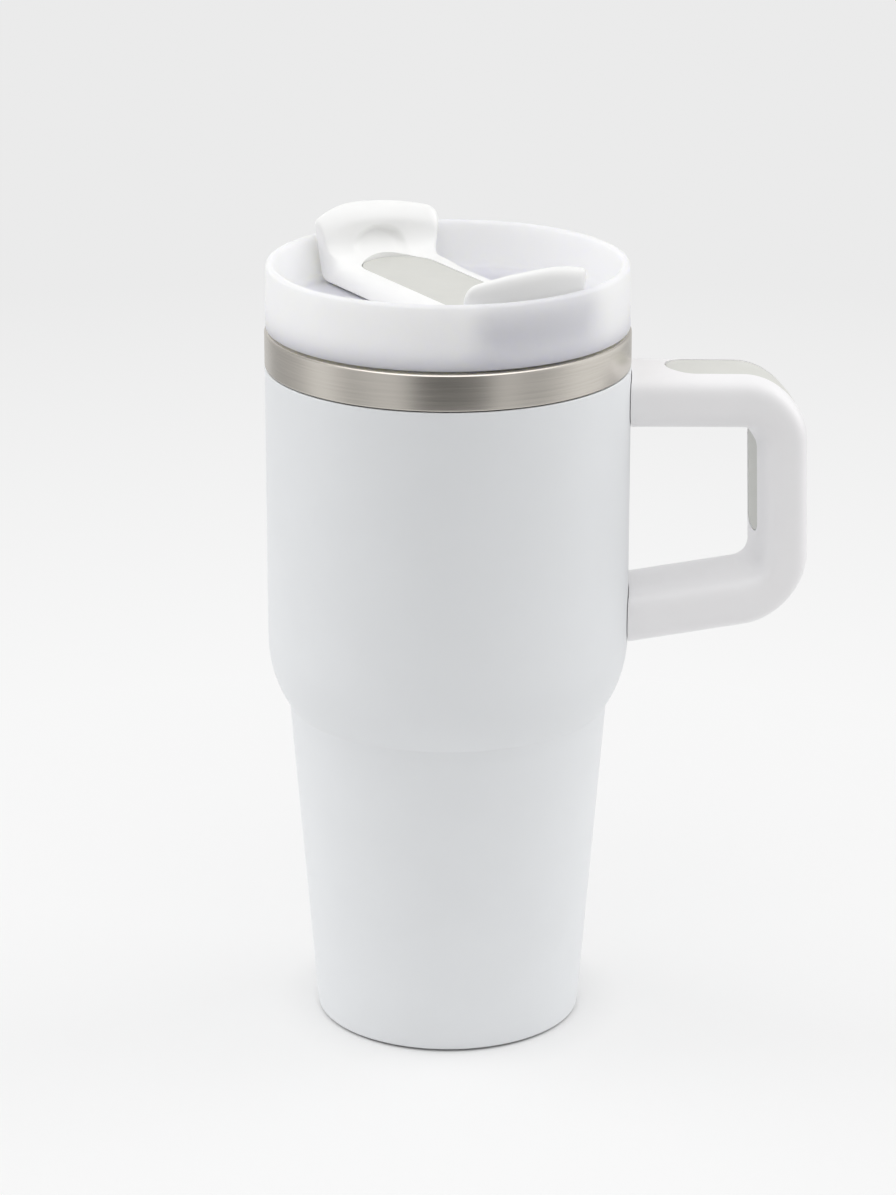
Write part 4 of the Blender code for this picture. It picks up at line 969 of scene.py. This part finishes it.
class CoverForm:
    """Two skins over half of the bar and its tab: front is the upper and inner skin, back the other."""

    def __init__(self, sizes, recess, top, arch, droop, reach, outer_edge, tab_seam):
        self.sizes = sizes
        self.outer_edge = outer_edge
        self.tab_seam = tab_seam
        self.top = top
        self.arch = arch
        self.droop = droop
        self.clear_radius = recess - TAB_CLEARANCE
        self.half_bar = sizes.bar_width / 2
        self.half_tab = sizes.tab_width / 2
        self.round_reach = self.half_tab + reach
        self.corner_reach = math.sqrt(self.clear_radius ** 2 - self.half_tab ** 2)
        self.reach = self.corner_reach + sizes.tab_bulge
        self.face = self.reach - sizes.tab_thickness

    def outer_face(self, across):
        bulged = self.corner_reach + self.sizes.tab_bulge * (1 - (across / self.half_tab) ** 2)
        return min(bulged, math.sqrt(self.clear_radius ** 2 - across ** 2))

    def half_width(self, row, share, height):
        """Half width at a height above the lid's floor; the bar widens towards its tab."""
        top = self.half_tab if share > 0 else self.round_reach
        wider = smooth((row / FLAT_ROWS - FLARE_START) / (1 - FLARE_START))
        return self.half_bar + (top - self.half_bar) * wider * height / (self.top - self.arch)

    def crest(self, share):
        """Height of a tab's top edge at a share of its half width."""
        sizes = self.sizes
        sharp = share > CREST_APEX
        fall = self.arch if sharp else self.droop
        corner = sizes.tab_point if sharp else sizes.tab_corner
        away = abs(share - CREST_APEX) / (1 - CREST_APEX if sharp else 1 + CREST_APEX)
        past_corner = abs(share) * self.half_tab - (self.half_tab - corner)
        drop = corner - math.sqrt(max(corner ** 2 - max(past_corner, 0) ** 2, 0))
        return self.top - fall * away ** 2 - drop

    def dish(self, across, height):
        """Depth of the thumb dish in a tab's inner face, which grows upwards."""
        inside = 1 - (across / DISH_HALF_WIDTH) ** 2 - ((height - DISH_MIDDLE) / DISH_HALF_HEIGHT) ** 2
        return smooth(inside / DISH_RIM_SHARE) * (DISH_DEPTH + DISH_LEAN * (height - DISH_MIDDLE))

    def inner_face(self, across, height):
        """The tab's inner face with its fillet and dish, at a height above the bar."""
        sizes = self.sizes
        bowed = self.face - FACE_BOW * (across / self.half_tab) ** 2
        return bowed - sizes.tab_fillet + quarter(sizes.tab_fillet, height) + self.dish(across, height)

    def front(self, row, share):
        top = self.sizes.bar_top
        rise = self.rise(row) * (self.crest(share) - top)
        across = share * self.half_width(row, share, top + rise)
        return Vector((min(row / FLAT_ROWS, 1) * self.inner_face(across, rise), across, top + rise))

    def back(self, row, share):
        rise = self.rise(row) * (self.crest(share) - SEAT_GAP)
        across = share * self.half_width(row, share, rise)
        out = self.outer_face(across) - OUTER_FOOT_ROUNDING + quarter(OUTER_FOOT_ROUNDING, rise)
        return Vector((min(row / FLAT_ROWS, 1) * out, across, SEAT_GAP + rise))

    @staticmethod
    def rise(row):
        """Share of a tab's height that a row has climbed."""
        return (1 - math.cos(math.pi * max(row - FLAT_ROWS, 0) / RISING_ROWS)) / 2

    def skins(self, row, share):
        """The two skins' points, drawn together on a seam at the edges that lies near the back skin."""
        sizes = self.sizes
        front = self.front(row, share)
        back = self.back(row, share)
        upright = smooth((front.z - sizes.bar_top) / EDGE_RISE)
        seam = front.lerp(back, SEAM_SHARE + (self.tab_seam - SEAM_SHARE) * upright)
        from_side = self.half_width(row, share, front.z) * (1 - abs(share))
        tab_edge = sizes.sharp_edge if share > 0 else sizes.round_edge
        rounding = sizes.bar_side + (tab_edge - sizes.bar_side) * upright
        power = BAR_SIDE_POWER + (EDGE_POWER - BAR_SIDE_POWER) * upright
        crest = self.crest(share)
        inner = soft_edge(from_side, rounding, power) * soft_edge(crest - front.z, sizes.crest_inside, CREST_POWER)
        outer_edge = sizes.rear_edge + (self.outer_edge - sizes.rear_edge) * upright
        outer = (soft_edge(from_side, outer_edge, EDGE_POWER)
                 * soft_edge(crest - back.z, outer_edge, EDGE_POWER))
        return seam + (front - seam) * inner, seam + (back - seam) * outer


def cover_body(tabs):
    """The closed bar with its two tabs, each from the middle of the bar."""
    mesh = bmesh.new()
    shares = [math.sin(math.pi / 2 * (2 * column / COLUMNS - 1)) for column in range(COLUMNS + 1)]
    for turn, form in zip((1, -1), tabs):
        for skin in (0, 1):
            rows = []
            for row in range(FLAT_ROWS + RISING_ROWS + 1):
                points = [form.skins(row, share)[skin] for share in shares]
                rows.append([mesh.verts.new((turn * point.x, turn * point.y, point.z)) for point in points])
            for first, second in zip(rows, rows[1:]):
                for column in range(COLUMNS):
                    mesh.faces.new((first[column], first[column + 1], second[column + 1], second[column]))
    return mesh


def pad_body(cover, face):
    """The grey pad with soft upper edges."""
    long_side = 2 * (face - cover.pad_end)
    rings = [(0.0, cover.bar_top - PAD_THICKNESS)]
    for step in range(ARC_STEPS + 1):
        angle = math.pi / 2 * step / ARC_STEPS
        rings.append((cover.pad_edge * (1 - math.cos(angle)), cover.bar_top - cover.pad_edge * (1 - math.sin(angle))))
    mesh = bmesh.new()
    rows = []
    for shrink, height in rings:
        outline = stadium(long_side - 2 * shrink, cover.pad_width - 2 * shrink)
        rows.append([mesh.verts.new((point.x, point.y, height)) for point in outline])
    for first, second in zip(rows, rows[1:]):
        for spot in range(len(first)):
            after = (spot + 1) % len(first)
            mesh.faces.new((first[spot], first[after], second[after], second[spot]))
    mesh.faces.new(rows[0][::-1])
    mesh.faces.new(rows[-1])
    return mesh


def make_cover(cup, lid, cover):
    _, bore, recess = lid_radii(cup, lid)
    rear = CoverForm(cover, recess, cover.rear_top, cover.rear_arch, cover.rear_droop, cover.rear_reach,
                     cover.rear_edge, SEAM_SHARE)
    front = CoverForm(cover, recess, cover.front_top, cover.front_arch, cover.front_droop, 0,
                      cover.front_edge, FRONT_SEAM_SHARE)
    at_rest = cover_frame(cover.turn, lid)
    bar = add_mesh("cover_wings", cover_body((rear, front)), white_abs())
    pocket = stadium(2 * (rear.face - cover.pad_end + PAD_GAP), cover.pad_width + 2 * PAD_GAP)
    pocket_low = cover.bar_top - PAD_THICKNESS - SEAT_GAP
    cutters = [prism("pad_pocket", pocket, pocket_low, cover.rear_top)]
    sip = bore - SIP_MARGIN - lid.sip_width / 2
    straw = bore - STRAW_MARGIN - lid.straw_radius
    grow = 2 * (SEAL_PAD_MARGIN + SEAT_GAP)
    seals = ((-sip, lid.sip_length + grow, lid.sip_width + grow),
             (straw, 2 * lid.straw_radius + grow, 2 * lid.straw_radius + grow))
    for offset, long_side, short_side in seals:
        room = [(point.y + offset, point.x) for point in stadium(long_side, short_side)]
        cutters.append(prism("seal_room", room, -cover.bar_top, SEAL_PAD_THICKNESS + 2 * SEAT_GAP))
    carve(bar, cutters)
    stem = [(0, -lid.floor_thickness, 0), (STEM_RADIUS, -lid.floor_thickness, SEAT_GAP),
            (STEM_RADIUS, 2 * SEAT_GAP, 0), (0, 2 * SEAT_GAP, 0)]
    carve(bar, [turned("stem", rounded(stem), bar.data.materials[0], SMALL_SEGMENTS)], "UNION")
    screw_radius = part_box("pivot_screw")[1]
    top = screw_radius.z - floor_height(lid) + SEAT_GAP
    bore_outline = [Vector((0, -cover.bar_top)), Vector((PIVOT_BORE, -cover.bar_top)),
                    Vector((PIVOT_BORE, top)), Vector((0, top))]
    carve(bar, [turned("stem_bore", bore_outline, bar.data.materials[0], SMALL_SEGMENTS)])
    settle(bar, at_rest)
    hand_over(bar, "cover", "cover_plastic", "cover_bar")
    rubber = grey_rubber(bpy.context.scene.tumbler_colours.pad_rubber)
    pad = settle(add_mesh("cover_pad", pad_body(cover, rear.face), rubber), at_rest)
    hand_over(pad, "cover", "inlay_rubber", "cover_inlay")


PIVOT_BORE = 1.8 * MM

# Handle

SECTION_POWER = 3.4
SECTION_POINTS = 72
HANDLE_RUN = 1.5 * MM
BEND_STEPS = 32
INLAY_COLUMNS = 28
INLAY_END_ROWS = 16
OUTER_INLAY_START = 8.8 * MM
OUTER_INLAY_MARGIN = 3.0 * MM
INNER_INLAY_RISE = 1.0 * MM
INNER_INLAY_LOW_MARGIN = 5.0 * MM
OUTER_INLAY_END = 6.6 * MM
INNER_INLAY_END = 2.6 * MM
INLAY_SINK = 0.15 * MM
INLAY_GAP = 0.15 * MM
WALL_SEAM = 0.2 * MM
BEND_THINNING = 0.05
WELD_PAD_BORDER = 3.4 * MM
WELD_PAD_DEPTH = 2.0 * MM
TONGUE_LENGTH = 14.0 * MM
TONGUE_BORDER = 7.0 * MM
TONGUE_TOP = 1.5 * MM
SCREW_WEB = 1.6 * MM
SCREW_EDGE = 5.5 * MM
SCREW_RADIUS = 2.0 * MM
SINK_RADIUS = 3.4 * MM
PLUG_SINK = 0.2 * MM
PLUG_THICKNESS = 1.0 * MM


def middle_line(cup, handle):
    """The handle's middle line in the XZ plane, and its bends' ends as indices."""
    root = handle.width / 2
    upper_slope = -handle.upper_fall / handle.upper_reach
    lower_slope = handle.lower_rise / handle.lower_reach
    half = handle.arm_thickness / 2
    return rounded([
        (cup.body_radius - root, handle.upper_height - upper_slope * root, 0),
        (cup.body_radius + handle.upper_reach, handle.upper_height - handle.upper_fall, handle.upper_bend + half),
        (cup.body_radius + handle.lower_reach, handle.lower_height + handle.lower_rise, handle.lower_bend + half),
        (cup.body_radius - root, handle.lower_height - lower_slope * root, 0),
    ], steps=BEND_STEPS, longest=HANDLE_RUN)


class HandleLine:
    """Places along the handle: distance from the wall, point, outward normal and half thickness."""

    def __init__(self, cup, handle):
        self.points = middle_line(cup, handle)
        self.half_width = handle.width / 2
        self.stations = []
        distance = -self.half_width
        last = len(self.points) - 1
        for index, point in enumerate(self.points):
            before = self.points[max(index - 1, 0)]
            along = (self.points[min(index + 1, last)] - before).normalized()
            distance += (point - before).length
            upright = along.y ** 2
            thickness = handle.arm_thickness + (handle.grip_thickness - handle.arm_thickness) * upright
            thickness -= handle.arm_thickness * BEND_THINNING * 4 * upright * (1 - upright)
            self.stations.append((distance, point, Vector((-along.y, along.x)), thickness / 2))
        upright = [station[0] for station in self.stations if abs(station[2].y) < GRIP_SLOPE]
        self.grip = (upright[0], upright[-1])

    def at(self, distance):
        """Point, outward normal and half thickness at a distance."""
        for first, second in zip(self.stations, self.stations[1:]):
            if distance <= second[0]:
                break
        share = (distance - first[0]) / (second[0] - first[0])
        return [first[place] + (second[place] - first[place]) * share for place in (1, 2, 3)]

    def skin(self, half, across):
        """How far the skin stands off the middle line at a distance across."""
        return half * (1 - abs(across / self.half_width) ** SECTION_POWER) ** (1 / SECTION_POWER)


GRIP_SLOPE = 0.05


def inlay_body(line, side, span, half_width, end, under, over, edge):
    """A round-ended strip on the handle's skin, from under to over it, with a rounded upper edge."""
    start, stop = span
    ends = [end * (1 - math.cos(math.pi / 2 * step / INLAY_END_ROWS)) for step in range(INLAY_END_ROWS + 1)]
    places = [start + inward for inward in ends]
    places += [station[0] for station in line.stations if start + end < station[0] < stop - end]
    places += [stop - inward for inward in ends[::-1]]
    mesh = bmesh.new()
    rows = []
    for distance in places:
        point, outward, half = line.at(distance)
        short = 1 - min(end, distance - start, stop - distance) / end
        reach = half_width * math.sqrt(max(1 - short ** 2, 0))
        ring = []
        for lower in (False, True):
            for column in range(INLAY_COLUMNS + 1):
                share = math.sin(math.pi / 2 * (2 * column / INLAY_COLUMNS - 1))
                across = share * reach
                border = half_width * (1 - math.hypot(across / half_width, short))
                drop = edge * (1 - soft_edge(border, edge, 2)) if edge else 0
                height = -under if lower else over - drop
                place = point + outward * side * (line.skin(half, across) + height)
                ring.append(mesh.verts.new((place.x, across, place.y)))
        rows.append(ring)
    width = INLAY_COLUMNS + 1
    for first, second in zip(rows, rows[1:]):
        for offset in (0, width):
            for column in range(offset, offset + INLAY_COLUMNS):
                mesh.faces.new((first[column], first[column + 1], second[column + 1], second[column]))
        for column in (0, INLAY_COLUMNS):
            mesh.faces.new((first[column], second[column], second[column + width], first[column + width]))
    return mesh


def arm_frames(cup, handle):
    """Where the two arms leave the cup's wall, X running out along the arm."""
    upper_tilt = math.atan2(handle.upper_fall, handle.upper_reach)
    lower_tilt = -math.atan2(handle.lower_rise, handle.lower_reach)
    for height, tilt in ((handle.upper_height, upper_tilt), (handle.lower_height, lower_tilt)):
        yield (Vector((cup.body_radius, 0, height)), tilt)


def arm_cutters(handle, place, tilt):
    """The room for a bracket and its screw inside an arm."""
    matrix = Matrix.Translation(place) @ Matrix.Rotation(tilt, 4, "Y")
    pad_side = handle.width / 2 - WELD_PAD_BORDER + SEAT_GAP
    pad_top = handle.arm_thickness / 2 - WELD_PAD_BORDER + SEAT_GAP
    side = handle.width / 2 - TONGUE_BORDER + SEAT_GAP
    sink = SINK_RADIUS + SEAT_GAP
    screw = SCREW_RADIUS + SEAT_GAP
    low = -handle.arm_thickness
    sink_top = -TONGUE_TOP - SEAT_GAP - SCREW_WEB
    hole = [(0, low, 0), (sink, low, 0), (sink, sink_top, 0), (screw, sink_top, 0), (screw, TONGUE_TOP, 0),
            (0, TONGUE_TOP, 0)]
    bodies = [block("weld_room", (-TONGUE_LENGTH, -pad_side, -pad_top), (WELD_PAD_DEPTH + SEAT_GAP, pad_side, pad_top)),
              block("tongue_room", (-WELD_PAD_DEPTH, -side, -TONGUE_TOP - SEAT_GAP),
                    (TONGUE_LENGTH + SEAT_GAP, side, TONGUE_TOP + SEAT_GAP)),
              settle(turned("screw_room", rounded(hole), None, SMALL_SEGMENTS),
                     Matrix.Translation((TONGUE_LENGTH - SCREW_EDGE, 0, 0)))]
    return [settle(body, matrix) for body in bodies]


def make_handle(cup, handle):
    line = HandleLine(cup, handle)
    path = guide("middle_line", [(point.x, 0, point.y) for point in line.points], False)
    section = []
    for spot in range(SECTION_POINTS):
        angle = math.tau * spot / SECTION_POINTS
        across, height = [math.copysign(abs(value) ** (2 / SECTION_POWER), value)
                          for value in (math.cos(angle), math.sin(angle))]
        section.append((across * handle.width / 2, height * handle.arm_thickness / 2))
    ring = guide("section", section, True)
    loop = grown("handle_loop", handle_tree(), {
        "Middle Line": path, "Section": ring, "Grip Share": handle.grip_thickness / handle.arm_thickness,
        "Bend Thinning": BEND_THINNING, "Material": white_polypropylene()}, [path, ring])
    wall = cup.body_radius + WALL_SEAM
    cylinder = [(0, SHELL_LOW.z, 0), (wall, SHELL_LOW.z, 0), (wall, LINER_HIGH.z, 0), (0, LINER_HIGH.z, 0)]
    cutters = [turned("wall", rounded(cylinder), None)]
    half = handle.width / 2
    strips = (("outer_inlay", "outer_grip", 1, OUTER_INLAY_START, line.grip[1] - OUTER_INLAY_MARGIN,
               half - handle.outer_border, OUTER_INLAY_END),
              ("inner_inlay", "inner_grip", -1, line.grip[0] - INNER_INLAY_RISE,
               line.grip[1] - INNER_INLAY_LOW_MARGIN, half - handle.inner_border, INNER_INLAY_END))
    thickness = handle.inlay_thickness
    rubber = grey_rubber(bpy.context.scene.tumbler_colours.grip_rubber)
    for name, node, side, start, stop, half_width, end in strips:
        cutters.append(add_mesh(name + "_room", inlay_body(
            line, side, (start - INLAY_GAP, stop + INLAY_GAP), half_width + INLAY_GAP, end + INLAY_GAP,
            thickness + SEAT_GAP, thickness, 0)))
        strip = add_mesh(name, inlay_body(line, side, (start, stop), half_width, end, thickness, -INLAY_SINK,
                                          handle.inlay_edge), rubber)
        hand_over(strip, "cup", "grip_rubber", node)
    for place, tilt in arm_frames(cup, handle):
        cutters += arm_cutters(handle, place, tilt)
    carve(loop, cutters)
    hand_over(loop, "cup", "handle_plastic", "handle_body")


def make_plugs(cup, handle):
    """The two soft plugs that cover the screws under the arms."""
    low = -handle.arm_thickness / 2 + PLUG_SINK
    dome = SINK_RADIUS / 4
    outline = [(0, low, 0), (SINK_RADIUS, low, dome / 2), (SINK_RADIUS, low + PLUG_THICKNESS, 0),
               (0, low + PLUG_THICKNESS, 0)]
    shape = turned("plug_shape", rounded(outline), None, SMALL_SEGMENTS)
    settle(shape, Matrix.Translation((TONGUE_LENGTH - SCREW_EDGE, 0, 0)))
    frames = list(arm_frames(cup, handle))
    places = guide("plug_places", [place for place, _ in frames], False)
    tilts = places.data.attributes.new("tilt", "FLOAT_VECTOR", "POINT")
    for spot, (_, tilt) in enumerate(frames):
        tilts.data[spot].vector = (0, tilt, 0)
    rubber = grey_rubber(bpy.context.scene.tumbler_colours.grip_rubber)
    plugs = grown("arm_plugs", scatter_tree(), {"Places": places, "Shape": shape, "Material": rubber},
                  [places, shape])
    hand_over(plugs, "cup", "plug_rubber", "upper_plug", "lower_plug")


# Fittings that keep their CAD shape

def dress_fittings():
    steel = stamped_steel()
    soft = silicone()
    finishes = {
        "outer_base": spun_steel(), "seal_bead": solder_glass(), "getter": getter_alloy(),
        "upper_bracket": steel, "lower_bracket": steel, "upper_screw": steel, "lower_screw": steel,
        "pivot_seal": soft, "sip_seal": soft, "straw_seal": soft,
        "pivot_washer": white_acetal(), "pivot_screw": steel,
    }
    for node, material in finishes.items():
        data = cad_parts[node].data
        data.materials.clear()
        data.materials.append(material)


# Stage

FLOOR_HALF = 6.0
SURROUND_LEVEL = 0.405
BACKGROUND_LEVEL = 0.88
FLOOR_GLOW = 0.55
FLOOR_GLOW_LEVEL = 0.935
# Glow level of the far floor, dimmer than near the object: painted shade where the lamps' light falls off.
FAR_GLOW_PAINTED_SHADE_LEVEL = 0.83
TABLE_SHADE = 0.5
SHADOW_RADIUS = 0.12
SHEET_RADIUS = 0.25
TABLE_RADIUS = 0.75
CONTACT_FADE = 14.0 * MM
TABLE_MIDDLE = Vector((0, 0, 0.1))
SIDE_BOX_ANGLE = 105
SIDE_BOX_DISTANCE = 1.1
SIDE_BOX_HEIGHT = 0.55
SIDE_BOX_SIZE = 0.9
SIDE_BOX_POWER = 4.7
TOP_BOX_PLACE = (-0.05, -0.3, 1.35)
TOP_BOX_SIZE = 1.9
TOP_BOX_POWER = 12.7
CARD_DISTANCE = 0.45
CARD_HEIGHT = 0.6
# Glowing cards round the table that only reflections show, painting the reflections of a bright studio, as (degrees to
# the right of the camera's side, level), with a dark gap in front
REFLECTION_GLOW_CARDS = ((-180, 0.9), (-142, 0.8), (-135, 0.5), (-110, 0.52), (-100, 0.56), (-86, 1.0), (-77, 1.0), (-60, 0.5), (-46, 0.7),
         (-27, 0.85), (-17, 0.18), (0, 0.18), (22, 0.26), (31, 0.85), (48, 0.52), (60, 0.54), (84, 1.0), (106, 0.95),
         (128, 0.85), (140, 0.55), (180, 0.9))


def make_camera():
    data = bpy.data.cameras.new("photo_camera")
    data.sensor_fit = "VERTICAL"
    data.sensor_height = SENSOR_HEIGHT
    data.lens = FOCAL_LENGTH
    camera = link(bpy.data.objects.new("photo_camera", data))
    camera.location = CAMERA_PLACE
    camera.rotation_euler = (math.radians(90 + CAMERA_PITCH), 0, math.radians(CAMERA_YAW))
    bpy.context.scene.camera = camera


def seen_rays(tree):
    """One for rays that show a surface as it is: from the camera, a reflection or through a clear piece."""
    path = add_node(tree, "ShaderNodeLightPath").outputs
    first = add_node(tree, "ShaderNodeMath", {0: path["Is Camera Ray"], 1: path["Is Glossy Ray"]}, operation="MAXIMUM")
    return add_node(tree, "ShaderNodeMath", {0: first.outputs[0], 1: path["Is Transmission Ray"]},
                    operation="MAXIMUM").outputs[0]


def make_floor():
    mesh = bmesh.new()
    bmesh.ops.create_grid(mesh, x_segments=2, y_segments=2, size=FLOOR_HALF)
    floor = add_mesh("paper_floor", mesh, white_paper())


def make_world():
    """Even white surroundings."""
    world = bpy.data.worlds.new("studio")
    world.use_nodes = True
    bpy.context.scene.world = world
    tree = world.node_tree
    tree.nodes.clear()
    soft = add_node(tree, "ShaderNodeBackground", {"Color": (1, 1, 1, 1), "Strength": SURROUND_LEVEL})
    plain = add_node(tree, "ShaderNodeBackground", {"Color": (1, 1, 1, 1), "Strength": BACKGROUND_LEVEL})
    lit = add_node(tree, "ShaderNodeMixShader", {"Fac": seen_rays(tree), 1: soft.outputs[0], 2: plain.outputs[0]})
    add_node(tree, "ShaderNodeOutputWorld", {"Surface": lit.outputs[0]})


def reflection_glow_material():
    """Glowing card stood round the table with gaps, which only reflections on glossy surfaces show: painted
    reflections.
    """
    material, tree, shader = new_material("painted_reflection_glow")
    tree.nodes.remove(shader)
    place = add_node(tree, "ShaderNodeTexCoord").outputs["Object"]
    turned_place = add_node(tree, "ShaderNodeVectorRotate", {"Vector": place, "Angle": math.radians(-CAMERA_YAW)},
                            rotation_type="Z_AXIS")
    split = add_node(tree, "ShaderNodeSeparateXYZ", {0: turned_place.outputs[0]})
    towards = add_node(tree, "ShaderNodeMath", {0: split.outputs["Y"], 1: -1.0}, operation="MULTIPLY").outputs[0]
    angle = add_node(tree, "ShaderNodeMath", {0: split.outputs["X"], 1: towards}, operation="ARCTAN2").outputs[0]
    share = add_node(tree, "ShaderNodeMapRange", {"Value": angle, "From Min": -math.pi, "From Max": math.pi}).outputs[0]
    cards = add_node(tree, "ShaderNodeValToRGB", {"Fac": share})
    stops = cards.color_ramp.elements
    while len(stops) < len(REFLECTION_GLOW_CARDS):
        stops.new(0.5)
    for stop, (degrees, level) in zip(stops, REFLECTION_GLOW_CARDS):
        stop.position = (degrees + 180) / 360
        stop.color = (level, level, level, 1)
    glow = add_node(tree, "ShaderNodeEmission", {"Color": cards.outputs["Color"]})
    tree.links.new(glow.outputs[0], tree.nodes["Material Output"].inputs["Surface"])
    return material


def make_reflection_glow_cards():
    mesh = bmesh.new()
    bmesh.ops.create_cone(mesh, segments=SEGMENTS, radius1=CARD_DISTANCE, radius2=CARD_DISTANCE, depth=CARD_HEIGHT,
                          matrix=Matrix.Translation((0, 0, CARD_HEIGHT / 2 + MM)))
    cards = add_mesh("reflector_cards", mesh, reflection_glow_material())
    # The cards glow and only glossy rays see them: painted reflections, not light on the object.
    cards.visible_camera = False
    cards.visible_diffuse = False
    cards.visible_transmission = False
    cards.visible_shadow = False


def make_softbox(name, place, size, power):
    data = bpy.data.lights.new(name, "AREA")
    data.shape = "SQUARE"
    data.size = size
    data.energy = power
    lamp = link(bpy.data.objects.new(name, data))
    lamp.location = place
    lamp.rotation_euler = (TABLE_MIDDLE - lamp.location).to_track_quat("-Z", "Y").to_euler()


def make_lamps():
    """Two soft boxes beside the object and one above it."""
    make_softbox("top_softbox", Vector(TOP_BOX_PLACE), TOP_BOX_SIZE, TOP_BOX_POWER)
    front = Vector(CAMERA_PLACE).to_2d().normalized() * SIDE_BOX_DISTANCE
    for side in (1, -1):
        turn = Matrix.Rotation(math.radians(side * SIDE_BOX_ANGLE), 2)
        place = (turn @ front).to_3d() + Vector((0, 0, SIDE_BOX_HEIGHT))
        make_softbox("side_softbox", place, SIDE_BOX_SIZE, SIDE_BOX_POWER)


# Operators

class TUMBLER_OT_cup(Operator):
    """Builds the coated shell, the steel liner and the foot cap"""

    bl_idname = "tumbler.cup"
    bl_label = "Cup"

    def execute(self, context):
        cup = context.scene.tumbler_cup
        make_shell(cup)
        make_liner(cup, context.scene.tumbler_lid)
        make_foot(cup)
        return {"FINISHED"}


class TUMBLER_OT_lid(Operator):
    """Builds the frosted lid and its silicone ring"""

    bl_idname = "tumbler.lid"
    bl_label = "Lid"

    def execute(self, context):
        scene = context.scene
        make_lid(scene.tumbler_cup, scene.tumbler_lid, scene.tumbler_cover)
        make_ring()
        return {"FINISHED"}


class TUMBLER_OT_cover(Operator):
    """Builds the rotating cover and its grey pad"""

    bl_idname = "tumbler.cover"
    bl_label = "Rotating cover"

    def execute(self, context):
        scene = context.scene
        make_cover(scene.tumbler_cup, scene.tumbler_lid, scene.tumbler_cover)
        return {"FINISHED"}


class TUMBLER_OT_handle(Operator):
    """Builds the loop handle, its soft inlays and its plugs"""

    bl_idname = "tumbler.handle"
    bl_label = "Handle"

    def execute(self, context):
        scene = context.scene
        make_handle(scene.tumbler_cup, scene.tumbler_handle)
        make_plugs(scene.tumbler_cup, scene.tumbler_handle)
        return {"FINISHED"}


class TUMBLER_OT_fittings(Operator):
    """Gives the fittings that keep their CAD shape their finishes"""

    bl_idname = "tumbler.fittings"
    bl_label = "Fittings"

    def execute(self, context):
        dress_fittings()
        return {"FINISHED"}


class TUMBLER_OT_stage(Operator):
    """Sets the camera, the paper floor, the studio light and the glowing cards that paint reflections"""

    bl_idname = "tumbler.stage"
    bl_label = "Stage"

    def execute(self, context):
        make_camera()
        make_floor()
        make_world()
        make_reflection_glow_cards()
        make_lamps()
        context.scene.view_settings.view_transform = "Standard"
        return {"FINISHED"}


OPERATORS = (TUMBLER_OT_cup, TUMBLER_OT_lid, TUMBLER_OT_cover, TUMBLER_OT_handle, TUMBLER_OT_fittings,
             TUMBLER_OT_stage)


class TUMBLER_PT_sidebar(Panel):
    """Lists the tumbler's operators"""

    bl_idname = "TUMBLER_PT_sidebar"
    bl_label = "Handled tumbler"
    bl_space_type = "VIEW_3D"
    bl_region_type = "UI"
    bl_category = "Tumbler"

    def draw(self, context):
        for operator in OPERATORS:
            self.layout.operator(operator.bl_idname)


GROUPS = {"tumbler_cup": CupSizes, "tumbler_lid": LidSizes, "tumbler_cover": CoverSizes,
          "tumbler_handle": HandleSizes, "tumbler_colours": FinishColours}


def register():
    for group in (*GROUPS.values(), *OPERATORS, TUMBLER_PT_sidebar):
        bpy.utils.register_class(group)
    for name, group in GROUPS.items():
        setattr(bpy.types.Scene, name, PointerProperty(type=group))


def unregister():
    for name in GROUPS:
        delattr(bpy.types.Scene, name)
    for group in (TUMBLER_PT_sidebar, *OPERATORS[::-1], *GROUPS.values()):
        bpy.utils.unregister_class(group)


def main():
    register()
    bpy.ops.tumbler.cup()
    bpy.ops.tumbler.lid()
    bpy.ops.tumbler.cover()
    bpy.ops.tumbler.handle()
    bpy.ops.tumbler.fittings()
    bpy.ops.tumbler.stage()


if __name__ == "__main__":
    main()
